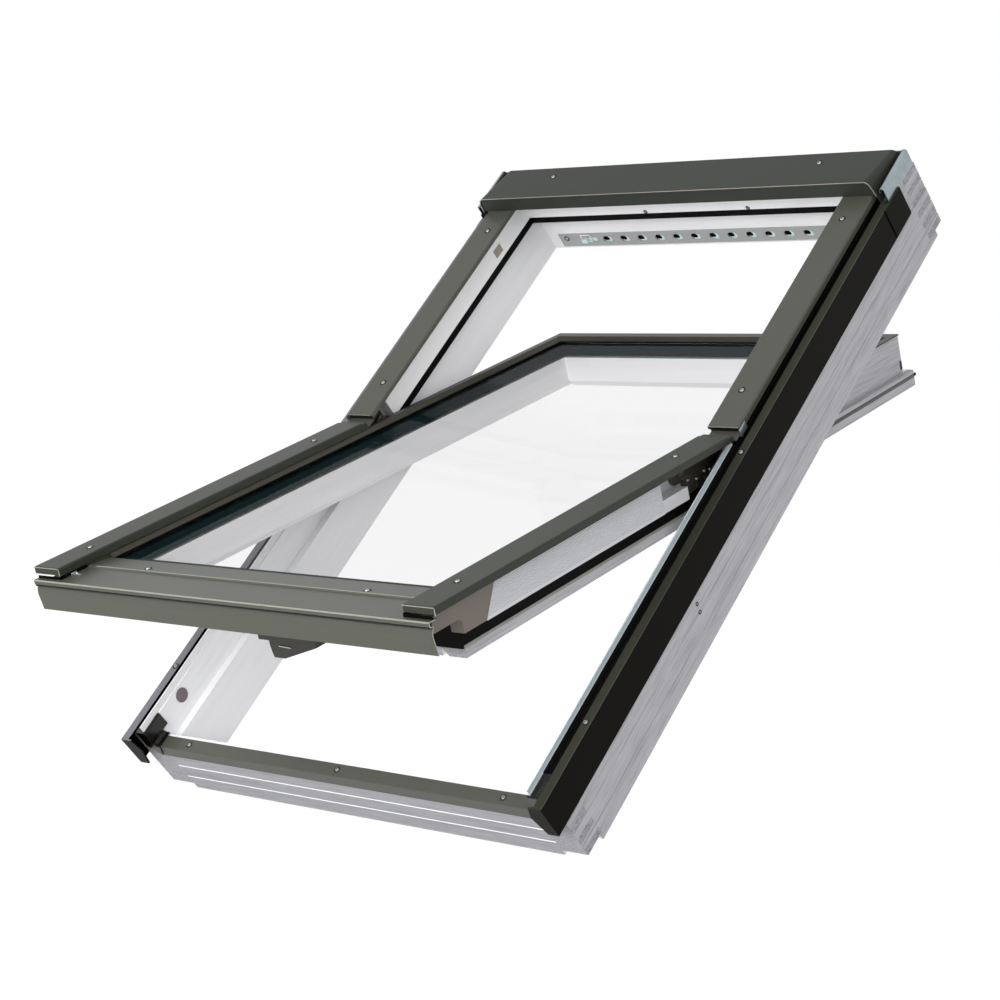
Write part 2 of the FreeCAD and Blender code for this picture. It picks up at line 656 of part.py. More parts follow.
def hood_bracket():
    """Galvanised channel that holds the hood's hem, with a foot and a back plate on the timber."""
    outer = HOOD_HALF
    front_v = HOOD_FRONT_V + BRACKET_CHANNEL / 2
    back_v = FRAME_LENGTH - BRACKET_BACK_GAP
    inner = outer - BRACKET_CHANNEL
    channel = sheet_along([(outer, BRACKET_LOW_W), (outer, BRACKET_TOP_W), (inner, BRACKET_TOP_W),
                           (inner, BRACKET_TOP_W - BRACKET_LEG)], [BEND, BEND], BRACKET_SHEET, front_v, back_v)
    wall = outer - BRACKET_SHEET
    foot = prism_u([(PROFILE_HEAD_V + SHEET, FRAME_TOP_W), (back_v, FRAME_TOP_W), (back_v, BRACKET_LOW_W + 2),
                    (PROFILE_HEAD_V + SHEET, BRACKET_LOW_W + 2)], wall, outer)
    foot_flange = block((HALF - BRACKET_BACK_REACH, outer), (back_v - BRACKET_BACK_REACH / 2, back_v),
                        (FRAME_TOP_W, FRAME_TOP_W + BRACKET_SHEET))
    plate = block((HALF - BRACKET_BACK_REACH, wall + BRACKET_SHEET / 2), (back_v - BRACKET_SHEET, back_v),
                  (FRAME_TOP_W, BRACKET_TOP_W - BEND))
    return joined([channel, foot, foot_flange, plate])


def cover_boss(v, base_w, inner_u):
    """Block that a side cover is screwed down to."""
    return block((inner_u, COVER_SCREW_U + COVER_BOSS / 2), (v - COVER_BOSS / 2, v + COVER_BOSS / 2),
                 (base_w, COVER_UNDER_W))


def side_stop():
    """White stop strip that closes the upper rebate of a side member, with the bosses for its cover."""
    strip = block((STOP_INNER, REBATE_FACE), (STOP_FOOT_V, TOP_FACE_V), (LEDGE_W + GASKET_DROP, FRAME_TOP_W))
    return joined([strip] + [cover_boss(v, FRAME_TOP_W, STOP_INNER) for v in STOP_SCREWS_V])


def top_stop():
    """White stop strip along the top member, between the side stops."""
    return block((-STOP_INNER, STOP_INNER), (STOP_TOP_V, TOP_FACE_V), (LEDGE_W + GASKET_DROP, FRAME_TOP_W))


def stop_gasket():
    """Black gasket under the three stop strips."""
    low, high = LEDGE_W, LEDGE_W + GASKET_DROP
    right = block((STOP_INNER, REBATE_FACE), (STOP_FOOT_V, TOP_FACE_V), (low, high))
    top = block((-STOP_INNER, STOP_INNER), (STOP_TOP_V, TOP_FACE_V), (low, high))
    return joined([right, top, mirrored(right)])


def bolt_plugs():
    """Round plugs let into the rebate faces of both side members near their feet."""
    base = Vec(REBATE_FACE - PLUG_PROUD, PLUG_V, FRAME_TOP_W - PLUG_DROP)
    plug = peg(PLUG_R, PLUG_DEPTH + PLUG_PROUD, base, X_AXIS)
    return Part.makeCompound([plug, mirrored(plug)])


def sash_side():
    """Right sash timber: glazing rebate outside, chamfer inside, lips with a seal groove."""
    outline = [(INNER_HALF + INNER_CHAMFER, SASH_ROOM_W), (LIP_HALF, SASH_ROOM_W), (LIP_HALF, LIP_LOW_W),
               (BODY_HALF, LIP_LOW_W), (BODY_HALF, LIP_GROOVE_W), (LIP_HALF, LIP_GROOVE_W),
               (LIP_HALF, LIP_HIGH_W),
               (BODY_HALF, LIP_HIGH_W), (BODY_HALF, SASH_TOP_W), (REBATE_HALF, SASH_TOP_W),
               (REBATE_HALF, GLASS_SEAT_W), (INNER_HALF, GLASS_SEAT_W),
               (INNER_HALF, SASH_ROOM_W + INNER_CHAMFER)]
    lip_end = SASH_HEAD_BODY_V + SASH_HEAD_LIP
    timber = prism_v(outline, SASH_FOOT_V, lip_end)
    timber = timber.cut(block((INNER_HALF, LIP_HALF + 1), (SASH_HEAD_BODY_V, lip_end),
                        (LIP_HIGH_W, SASH_TOP_W)))
    return timber.cut(block((BODY_HALF, LIP_HALF), (SASH_FOOT_V, SEAL_SPLIT_V), (LIP_LOW_W, LIP_HIGH_W)))


def sash_bottom():
    """Bottom sash timber between the sides, rebated for the panes."""
    outline = [(SASH_FOOT_V, SASH_ROOM_W), (SASH_FOOT_INNER_V - INNER_CHAMFER, SASH_ROOM_W),
               (SASH_FOOT_INNER_V, SASH_ROOM_W + INNER_CHAMFER), (SASH_FOOT_INNER_V, GLASS_SEAT_W),
               (PANE_FOOT_V, GLASS_SEAT_W), (PANE_FOOT_V, GLASS_TOP_W), (SASH_FOOT_V, GLASS_TOP_W)]
    rail = prism_u(outline, -INNER_HALF, INNER_HALF)
    ear = block((INNER_HALF, REBATE_HALF), (SASH_FOOT_V, PANE_FOOT_V), (GLASS_SEAT_W, GLASS_TOP_W))
    return joined([rail, ear, mirrored(ear)])


def sash_top():
    """Top sash timber between the sides, with the two lips that close behind the stop."""
    tip = SASH_HEAD_BODY_V + SASH_HEAD_LIP
    outline = [(SASH_HEAD_INNER_V + INNER_CHAMFER, SASH_ROOM_W), (tip, SASH_ROOM_W), (tip, LIP_LOW_W),
               (SASH_HEAD_BODY_V, LIP_LOW_W), (SASH_HEAD_BODY_V, LIP_GROOVE_W), (tip, LIP_GROOVE_W),
               (tip, LIP_HIGH_W), (SASH_HEAD_BODY_V, LIP_HIGH_W), (SASH_HEAD_BODY_V, SASH_TOP_W),
               (PANE_HEAD_V, SASH_TOP_W), (PANE_HEAD_V, GLASS_SEAT_W), (SASH_HEAD_INNER_V, GLASS_SEAT_W),
               (SASH_HEAD_INNER_V, SASH_ROOM_W + INNER_CHAMFER)]
    rail = prism_u(outline, -INNER_HALF, INNER_HALF)
    ear = block((INNER_HALF, REBATE_HALF), (PANE_HEAD_V, SASH_HEAD_BODY_V), (GLASS_SEAT_W, SASH_TOP_W))
    return joined([rail, ear, mirrored(ear)])


def pane(w_low, w_high):
    """One sheet of glass in the rebate."""
    half = REBATE_HALF - PANE_EDGE_GAP
    return block((-half, half), (PANE_FOOT_V + PANE_EDGE_GAP, PANE_HEAD_V - PANE_EDGE_GAP), (w_low, w_high))


def pane_spacer():
    """Dark edge seal between the two panes."""
    low = GLASS_SEAT_W + PANE_THICK
    ring = pane(low, low + PANE_CAVITY)
    sight = block((-INNER_HALF, INNER_HALF), (SASH_FOOT_INNER_V, SASH_HEAD_INNER_V), (low, low + PANE_CAVITY))
    return ring.cut(sight)


def glazing_ridges(edge):
    """Stepped outer face of the glazing profile, from its edge on the pane to the rebate."""
    run = (REBATE_STEP - GLAZING_INSET) / GLAZING_STEPS
    points = [(edge, GLASS_TOP_W)]
    for step in range(GLAZING_STEPS):
        base = GLASS_TOP_W + GLAZING_FIRST + step * GLAZING_RISE
        points.append((edge + run * step, base))
        points.append((edge + run * (step + 0.75), base + GLAZING_SLANT))
    return points


def glazing_profile():
    """Ridged aluminium profile that holds the panes down at the sides and the top."""
    inner_u = INNER_HALF + GLAZING_INSET
    side = glazing_ridges(inner_u)
    crest = side[-1][1]
    side = side + [(BODY_HALF, crest), (BODY_HALF, SASH_TOP_W), (REBATE_HALF, SASH_TOP_W),
                   (REBATE_HALF, GLASS_TOP_W)]
    inner_v = SASH_HEAD_INNER_V + GLAZING_INSET
    head = SASH_HEAD_BODY_V + GLAZING_HEAD
    cross = glazing_ridges(inner_v)
    cross = cross + [(head, crest), (head, SASH_TOP_W), (PANE_HEAD_V, SASH_TOP_W),
                     (PANE_HEAD_V, GLASS_TOP_W)]
    right = prism_v(side, PANE_FOOT_V + SHEET, head)
    run = (SILL_RIDGE_V + SHEET * 2, PANE_FOOT_V + SHEET * 2)
    foot = block((REBATE_HALF, BODY_HALF), run, (SASH_TOP_W, crest))
    lip = block((REBATE_HALF - PANE_EDGE_GAP, REBATE_HALF), run, (GLASS_TOP_W, crest))
    right = right.fuse(foot).fuse(lip)
    whole = joined([right, prism_u(cross, -BODY_HALF, BODY_HALF), mirrored(right)])
    timber = sash_side()
    return whole.cut(timber).cut(mirrored(timber)).cut(sash_top())


def rib_strip():
    """Ribbed white strip on the outer face of the lower half of the sash."""
    outer = BODY_HALF + RIB_STRIP_THICK
    pitch = (RIB_STRIP_HIGH_W - RIB_STRIP_LOW_W) * RIB_SHARE / RIB_COUNT
    first = RIB_STRIP_HIGH_W - RIB_COUNT * pitch
    outline = [(BODY_HALF, RIB_STRIP_LOW_W), (outer, RIB_STRIP_LOW_W)]
    for rib in range(RIB_COUNT):
        base = first + rib * pitch
        outline.append((outer, base))
        outline.append((outer - RIB_DEPTH, base + pitch * 0.3))
        outline.append((outer, base + pitch * 0.6))
    outline.append((outer, RIB_STRIP_HIGH_W))
    outline.append((BODY_HALF, RIB_STRIP_HIGH_W))
    strip = prism_v(outline, END_PIECE_HEAD_V, RIB_STRIP_HEAD_V)
    corner = prism_u([(END_PIECE_HEAD_V, RIB_STRIP_LOW_W),
                      (END_PIECE_HEAD_V + END_PIECE_SLANT, RIB_STRIP_HIGH_W),
                      (END_PIECE_HEAD_V, RIB_STRIP_HIGH_W)], BODY_HALF, outer)
    tail = block((BODY_HALF, outer - RIB_DEPTH), (RIB_STRIP_HEAD_V, RIB_STRIP_HEAD_V + RIB_TAIL),
                 (RIB_STRIP_LOW_W, RIB_STRIP_LOW_W + RIB_TAIL_TALL))
    return joined([strip.cut(corner), tail])


def end_piece():
    """Moulded end piece at the foot of the sash side, notched over the bottom frame cover."""
    outline = [(END_PIECE_FOOT_V, END_PIECE_NOTCH_W), (END_PIECE_NOTCH_V, END_PIECE_NOTCH_W),
               (END_PIECE_NOTCH_V, RIB_STRIP_LOW_W), (END_PIECE_HEAD_V, RIB_STRIP_LOW_W),
               (END_PIECE_HEAD_V + END_PIECE_SLANT, RIB_STRIP_HIGH_W), (END_PIECE_FOOT_V, RIB_STRIP_HIGH_W)]
    body = prism_u(outline, BODY_HALF, BODY_HALF + RIB_STRIP_THICK - RIB_DEPTH)
    arch = [edge for edge in edges_along(body, 0)
            if abs(edge.Vertexes[0].Z - END_PIECE_NOTCH_W) < 0.01 and edge.Vertexes[0].Y > 0]
    body = body.makeFillet(COVER_BEND * 2, arch)
    return joined([body, cover_boss(LOWER_SCREW_V, RIB_STRIP_HIGH_W, BODY_HALF)])


def sill_path(back):
    """Fold line of the sill cover from its fall round the nose and down the apron."""
    top = SILL_RIDGE_W - SILL_STEP
    nose_low = top - SILL_NOSE_HEIGHT
    return [(APRON_LOW_V, APRON_LOW_W), (APRON_BULGE_V, SILL_RIDGE_W - APRON_BULGE_DROP),
            (SILL_NOSE_V + SILL_TUCK, nose_low), (SILL_NOSE_V, nose_low), (SILL_NOSE_V, top)] + back


def sill_cover():
    """Bottom cover of the sash: ridge, broad fall, rounded nose and hanging apron."""
    bends = [APRON_BEND, SHEET, SILL_NOSE_BEND, SILL_NOSE_BEND]
    top = SILL_RIDGE_W - SILL_STEP
    step = (SILL_RIDGE_V - SILL_STEP, top)
    ridge = (SILL_RIDGE_V, SILL_RIDGE_W)
    edge_w = GLASS_TOP_W + SILL_EDGE_RISE
    full = sill_path([step, ridge, (PANE_FOOT_V, edge_w), (PANE_FOOT_V, GLASS_TOP_W)])
    half = REBATE_HALF - PANE_EDGE_GAP * 2
    folds = [SHEET, SILL_STEP_BEND, SILL_STEP_BEND] + bends[::-1]
    middle = sheet_across(full[::-1], folds, SHEET, -half, half)
    shelf = sheet_across(sill_path([step])[::-1], bends[::-1], SHEET, -BODY_HALF, BODY_HALF)
    nose = sheet_across(sill_path([(SILL_END_V, top)])[::-1], bends[::-1], SHEET, -SILL_HALF, SILL_HALF)
    return joined([middle, shelf, nose])


def sash_seal():
    """Black seal in the groove behind the lower lip, which turns over the foot of the timber."""
    fin = LIP_HALF - PANE_EDGE_GAP
    high = RIB_STRIP_LOW_W - PANE_EDGE_GAP
    foot = (SASH_FOOT_V - FOOT_SEAL, SASH_FOOT_V)
    lower = block((BODY_HALF, fin), (SASH_FOOT_V, SEAL_SPLIT_V - PANE_EDGE_GAP), (LIP_LOW_W, high))
    turn = block((INNER_HALF, fin), foot, (LIP_LOW_W, high))
    sole = block((INNER_HALF - FOOT_SEAL_REACH, BODY_HALF), foot, (LIP_LOW_W, END_PIECE_NOTCH_W))
    lower = joined([lower, turn, sole])
    upper = block((BODY_HALF, fin), (PIVOT_V, SASH_HEAD_BODY_V), (LIP_LOW_W, LIP_GROOVE_W))
    return Part.makeCompound([lower, upper, mirrored(lower), mirrored(upper)])


def arc_point(angle, radius):
    """Point at an angle from straight down below the hinge axis, positive towards the foot."""
    turn = math.radians(angle)
    return PIVOT_V - radius * math.sin(turn), PIVOT_W - radius * math.cos(turn)


def arc_band(radius, half, start, end):
    """Flat face of a curved slot with round ends, in the plane u = 0."""
    outer, inner = radius + half, radius - half
    middle = (start + end) / 2

    def at(angle, r):
        v, w = arc_point(angle, r)
        return Vec(0, v, w)

    def cap(angle, side):
        turn = math.radians(angle)
        return at(angle, radius) + Vec(0, -math.cos(turn), math.sin(turn)) * (half * side)

    edges = [Part.Arc(at(start, outer), at(middle, outer), at(end, outer)).toShape(),
             Part.Arc(at(end, outer), cap(end, 1), at(end, inner)).toShape(),
             Part.Arc(at(end, inner), at(middle, inner), at(start, inner)).toShape(),
             Part.Arc(at(start, inner), cap(start, -1), at(start, outer)).toShape()]
    return Part.Face(Part.Wire(edges))


def arc_plate(radius, half, start, end, u_low, thick):
    """Curved plate with round ends, thick across."""
    band = arc_band(radius, half, start, end).extrude(Vec(thick, 0, 0))
    band.translate(Vec(u_low, 0, 0))
    return band


def frame_hinge():
    """Track plate on the rebate face, with the curved groove that the pins run in."""
    inner = REBATE_FACE - HINGE_PLATE
    last_angle = HINGE_PIN_ANGLES[1] + HINGE_SWING
    low_v = arc_point(last_angle, HINGE_RADIUS)[0] - HINGE_MARGIN
    high_v = arc_point(HINGE_PIN_ANGLES[0], HINGE_RADIUS)[0] + HINGE_MARGIN
    low_w = PIVOT_W - HINGE_RADIUS - HINGE_MARGIN
    plate = block((inner, REBATE_FACE), (low_v, high_v), (low_w, PIVOT_W - HINGE_HEAD_GAP))
    corners = [edge for edge in edges_along(plate, 0) if edge.Vertexes[0].Z < low_w + 1]
    plate = plate.makeFillet(HINGE_CORNER, corners)
    track = arc_plate(HINGE_RADIUS, HINGE_PIN_R + TURN_GAP, HINGE_PIN_ANGLES[0] - HINGE_TRACK_SPARE,
                      last_angle + HINGE_TRACK_SPARE, inner, HINGE_TRACK_DEPTH)
    return plate.cut(track)


def sash_hinge():
    """Plate on the sash side with a curved carriage, rivets, and two pins that run in the track."""
    plate = block((BODY_HALF, BODY_HALF + SASH_PLATE),
                  (SPLIT_SCREW_V - COVER_BOSS, PIVOT_V + SASH_PLATE_HEAD),
                  (SASH_TOP_W - SASH_PLATE_LOW, SASH_TOP_W))
    plate = plate.makeFillet(SASH_PLATE_CORNER, edges_along(plate, 0))
    pieces = [plate, cover_boss(SPLIT_SCREW_V, SASH_TOP_W - COVER_BOSS, BODY_HALF)]
    face = BODY_HALF + SASH_PLATE
    pieces.append(arc_plate(HINGE_RADIUS, LINK_R, HINGE_PIN_ANGLES[0], HINGE_PIN_ANGLES[1], face - SHEET,
                            LINK_SHEET + SHEET))
    link = block((face - SHEET, face + LINK_SHEET),
                 (PIVOT_V + LINK_RIVETS[0][0] - LINK_R, PIVOT_V + LINK_RIVETS[-1][0] + LINK_R),
                 (RIB_STRIP_LOW_W, SASH_TOP_W - SASH_PLATE_LOW + SASH_PLATE))
    corners = [edge for edge in edges_along(link, 0) if edge.Vertexes[0].Z < RIB_STRIP_LOW_W + 1]
    pieces.append(link.makeFillet(LINK_R - SASH_PLATE, corners))
    boss_end = REBATE_FACE - HINGE_PLATE - 2.0
    pin_end = REBATE_FACE - HINGE_PLATE + HINGE_TRACK_DEPTH - TURN_GAP
    for angle in HINGE_PIN_ANGLES:
        v, w = arc_point(angle, HINGE_RADIUS)
        base = Vec(BODY_HALF, v, w)
        pieces.append(peg(HINGE_BOSS_R, boss_end - BODY_HALF, base, X_AXIS))
        pieces.append(peg(HINGE_PIN_R, pin_end - BODY_HALF, base, X_AXIS))
    for v, rise in LINK_RIVETS:
        base = Vec(face, PIVOT_V + v, RIB_STRIP_LOW_W + rise)
        pieces.append(peg(RIVET_R, LINK_SHEET + RIVET_PROUD, base, X_AXIS))
    return joined(pieces)


def slot_shape(centre_u, length, low_w, high_w, v_low, v_high):
    """Round-ended slot through a sheet that faces down the slope."""
    radius = (high_w - low_w) / 2
    middle = (high_w + low_w) / 2
    core = block((centre_u - length / 2 + radius, centre_u + length / 2 - radius), (v_low, v_high),
                 (low_w, high_w))
    run = length / 2 - radius
    ends = [peg(radius, v_high - v_low, Vec(centre_u + side * run, v_low, middle), Vec(0, 1, 0))
            for side in (-1, 1)]
    return joined([core] + ends)


def slot_centres():
    """Middle of each ventilation slot across the window."""
    first = -GRILLE_HALF + SLOT_FIRST_GAP
    return [first + index * SLOT_PITCH for index in range(SLOT_COUNT)]


def vent_grille():
    """Sheet over the shutter channel with a row of slots and a window for the knob."""
    sheet = block((-GRILLE_HALF, GRILLE_HALF), (TOP_FACE_V - GRILLE_SHEET, TOP_FACE_V),
                  (GRILLE_LOW_W, GRILLE_HIGH_W))
    low, high = TOP_FACE_V - GRILLE_SHEET - 1, TOP_FACE_V + 1
    for centre in slot_centres():
        sheet = sheet.cut(slot_shape(centre, SLOT_LONG, GRILLE_MIDDLE_W - SLOT_TALL / 2,
                                     GRILLE_MIDDLE_W + SLOT_TALL / 2, low, high))
    window = KNOB_LONG + SHUTTER_TRAVEL + SLIDE_GAP * 4
    tall = KNOB_TALL / 2 + 1
    return sheet.cut(block((KNOB_U - window / 2, KNOB_U + window / 2), (low, high),
                           (GRILLE_MIDDLE_W - tall, GRILLE_MIDDLE_W + tall)))


def vent_slider():
    """Shutter strip behind the grille, with openings that pass the slots and a knob."""
    low = GRILLE_LOW_W + CHANNEL_EDGE + SLIDE_GAP
    high = GRILLE_HIGH_W - CHANNEL_EDGE - SLIDE_GAP
    face = TOP_FACE_V + SLIDE_GAP
    knob_u = KNOB_U - SHUTTER_TRAVEL / 2
    reach = GRILLE_HALF - CHANNEL_EDGE - SHUTTER_TRAVEL - 4
    strip = block((-reach, reach), (face, face + SHUTTER_THICK), (low, high))
    for centre in slot_centres():
        strip = strip.cut(slot_shape(centre - SHUTTER_TRAVEL * 0.25, SLOT_LONG * 0.8,
                                     GRILLE_MIDDLE_W - SLOT_TALL * 0.4, GRILLE_MIDDLE_W + SLOT_TALL * 0.4,
                                     face - 1, face + SHUTTER_THICK + 1))
    knob = block((knob_u - KNOB_LONG / 2, knob_u + KNOB_LONG / 2),
                 (TOP_FACE_V - GRILLE_SHEET - KNOB_PROUD, face + SHUTTER_THICK),
                 (GRILLE_MIDDLE_W - KNOB_TALL / 2, GRILLE_MIDDLE_W + KNOB_TALL / 2))
    return joined([strip, knob])


def handle_base():
    """Moulded base on the room side of the sash's bottom rail."""
    plate = block((HANDLE_U - HANDLE_BASE_LEFT, HANDLE_U + HANDLE_BASE_RIGHT),
                  (HANDLE_V - HANDLE_BASE_WIDE / 2, HANDLE_V + HANDLE_BASE_WIDE / 2 - 1),
                  (SASH_ROOM_W - HANDLE_BASE_THICK, SASH_ROOM_W))
    plate = plate.makeFillet(HANDLE_BASE_CORNER, edges_along(plate, 2))
    return plate


def handle_lever():
    """Lever under the base: a curved heel, a flat underside and a ribbed slope up to its tip."""
    top = SASH_ROOM_W - HANDLE_BASE_THICK - TURN_GAP
    low = top - HANDLE_DROP
    heel = HANDLE_U - HANDLE_HEEL
    tip = HANDLE_U + HANDLE_TIP
    flat_end = heel + HANDLE_FLAT
    corners = [(heel, top), (heel + 4, low), (flat_end, low), (tip, top - HANDLE_RIM), (tip, top)]
    bottom_v, high_v = HANDLE_V - HANDLE_GRIP / 2, HANDLE_V + HANDLE_GRIP / 2
    curve = Part.Arc(Vec(heel, bottom_v, top), Vec(heel + 0.8, bottom_v, (top + low) / 2 + 1),
                     Vec(heel + 4, bottom_v, low)).toShape()
    edges = [curve]
    for start, end in zip(corners[1:], corners[2:] + corners[:1]):
        edges.append(Part.makeLine(Vec(start[0], bottom_v, start[1]), Vec(end[0], bottom_v, end[1])))
    body = Part.Face(Part.Wire(edges)).extrude(Vec(0, high_v - bottom_v, 0))
    slope = (top - HANDLE_RIM - low) / (tip - flat_end)
    inset = HANDLE_RIM * 1.6
    pocket = [(flat_end + inset, low + inset * 1.4 + slope * inset),
              (tip - inset * 3, top - HANDLE_RIM * 1.2), (flat_end + inset, top - HANDLE_RIM * 1.2)]
    return body.cut(prism_v(pocket, HANDLE_V + HANDLE_WEB / 2, high_v + 1))


os.makedirs("parts", exist_ok=True)

save(on_frame(bottom_member()), "frame_bottom_member")
save(on_frame(top_member()), "frame_top_member")
save_pair(side_member(), "frame_{}_member", on_frame)
save_pair(side_profile(), "frame_{}_profile", on_frame)
save(on_frame(bottom_cover()), "frame_bottom_cover")
save_pair(corner_piece(), "frame_{}_corner_piece", on_frame)
save_pair(upstand(), "frame_{}_upstand", on_frame)
bead = side_bead()
save(on_frame(Part.makeCompound([bead, mirrored(bead)])), "frame_side_gaskets")
save_pair(upper_cover(), "frame_{}_upper_cover", on_frame)
save(on_frame(top_hood()), "frame_top_hood")
save_pair(hood_bracket(), "hood_{}_bracket", on_frame)
save_pair(side_stop(), "frame_{}_stop", on_frame)
save(on_frame(top_stop()), "frame_top_stop")
save(on_frame(stop_gasket()), "frame_stop_gasket")
save(on_frame(bolt_plugs()), "frame_bolt_plugs")
save_pair(frame_hinge(), "frame_{}_hinge", on_frame)
save(on_frame(vent_grille()), "vent_grille")
save(on_frame(vent_slider()), "vent_slider")

save_pair(sash_side(), "sash_{}_member", on_sash)
save(on_sash(sash_bottom()), "sash_bottom_member")
save(on_sash(sash_top()), "sash_top_member")
save(on_sash(pane(GLASS_SEAT_W, GLASS_SEAT_W + PANE_THICK)), "inner_pane")
save(on_sash(pane(GLASS_TOP_W - PANE_THICK, GLASS_TOP_W)), "outer_pane")
save(on_sash(pane_spacer()), "pane_spacer")
save(on_sash(glazing_profile()), "sash_glazing_profile")
save_pair(rib_strip(), "sash_{}_rib_strip", on_sash)
foot_piece = end_piece()
save(on_sash(Part.makeCompound([foot_piece, mirrored(foot_piece)])), "sash_end_pieces")
save_pair(lower_cover(), "sash_{}_cover", on_sash)
save(on_sash(sill_cover()), "sash_bottom_cover")
save(on_sash(sash_seal()), "sash_side_gaskets")
save_pair(sash_hinge(), "sash_{}_hinge", on_sash)
save(on_sash(handle_base()), "handle_base")
save(on_sash(handle_lever()), "handle_lever")
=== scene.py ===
"""Dressed scene of a centre pivot roof window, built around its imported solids."""
import logging
import math
from dataclasses import dataclass
from enum import Enum
from typing import ClassVar, Mapping, Protocol, Sequence

import bmesh
import bpy
from mathutils import Matrix, Vector


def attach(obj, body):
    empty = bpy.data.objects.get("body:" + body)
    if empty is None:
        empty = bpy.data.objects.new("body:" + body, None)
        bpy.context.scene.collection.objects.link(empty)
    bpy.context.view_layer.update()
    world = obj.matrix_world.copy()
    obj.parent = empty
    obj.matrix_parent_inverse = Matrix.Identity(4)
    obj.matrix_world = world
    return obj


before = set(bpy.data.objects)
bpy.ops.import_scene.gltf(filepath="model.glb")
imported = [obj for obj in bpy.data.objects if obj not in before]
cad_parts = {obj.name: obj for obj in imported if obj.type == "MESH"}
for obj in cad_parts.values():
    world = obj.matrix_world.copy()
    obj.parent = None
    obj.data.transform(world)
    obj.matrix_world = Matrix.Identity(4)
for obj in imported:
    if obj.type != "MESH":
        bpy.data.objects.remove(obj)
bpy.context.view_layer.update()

LOG = logging.getLogger("roof_window")
MM = 0.001
Point = tuple[float, float, float]
Flat = tuple[float, float]
Colour = tuple[float, float, float]
WHITE_LIGHT = (1.0, 1.0, 1.0)


class Axis(Enum):
    """Drawing axes of the window, as matrix columns."""

    ACROSS = 0
    SLOPE = 1
    OUT = 2


class Facing(Enum):
    """Turn, in degrees about the across axis and the slope axis, of a fitting that faces a given way."""

    OUT = (0.0, 0.0)
    DOWN_SLOPE = (90.0, 0.0)
    RIGHT = (0.0, 90.0)
    LEFT = (0.0, -90.0)


class Slot:
    """Names of material slots of the record, passed with the scene's own pieces."""

    METAL = "grey_brown_aluminium"
    TIMBER = "white_painted_wood"
    STEEL = "galvanised_steel"
    PLASTIC = "black_plastic"
    RUBBER = "black_rubber"
    GRILLE = "grey_grille_sheet"


def from_hex(code: str) -> Colour:
    """Turn a display colour into the linear one that Blender's sockets take.

    Args:
        code: Six hexadecimal digits.

    Returns:
        Red, green and blue in linear light.
    """
    parts = [int(code[i:i + 2], 16) / 255 for i in (0, 2, 4)]
    return tuple(p / 12.92 if p <= 0.04045 else ((p + 0.055) / 1.055) ** 2.4 for p in parts)


@dataclass(frozen=True)
class Carrier:
    """Drawing coordinates of a body in millimetres: across, up the slope, out of the roof.

    Attributes:
        body: Name of the body that pieces drawn here ride on.
        opening: Angle in degrees by which the body is open in the photo's pose.
        pitch: Slope of the roof in degrees.
        origin_v: Slope place of the row frame's origin.
        pivot_v: Slope place of the sash's pivot line.
        pivot_w: Level of the sash's pivot line.
    """

    body: str
    opening: float = 0.0
    pitch: float = 45.0
    origin_v: float = 12.0
    pivot_v: float = 605.0
    pivot_w: float = 140.0

    def matrix(self) -> Matrix:
        """Return the matrix from drawing millimetres to the row frame in metres."""
        opened = Matrix.Rotation(math.radians(-self.opening), 4, "X")
        about = Matrix.Translation((0, self.pivot_v - self.origin_v, self.pivot_w))
        back = Matrix.Translation((0, -self.pivot_v, -self.pivot_w))
        pitched = Matrix.Rotation(math.radians(self.pitch), 4, "X")
        return Matrix.Scale(MM, 4) @ pitched @ about @ opened @ back

    def mapping(self) -> tuple[Point, Point]:
        """Return the turn and shift that take row frame metres to drawing metres."""
        turn = math.radians(self.opening - self.pitch)
        pivot = self.matrix() @ Vector((0, self.pivot_v, self.pivot_w))
        drawn = Vector((0, self.pivot_v, self.pivot_w)) * MM
        shift = drawn - Matrix.Rotation(turn, 3, "X") @ pivot
        return (turn, 0.0, 0.0), tuple(shift)


FRAME = Carrier("frame")
SASH = Carrier("sash", 27.5)
HANDLE = Carrier("handle", 27.5)
SHUTTER = Carrier("vent_shutter")


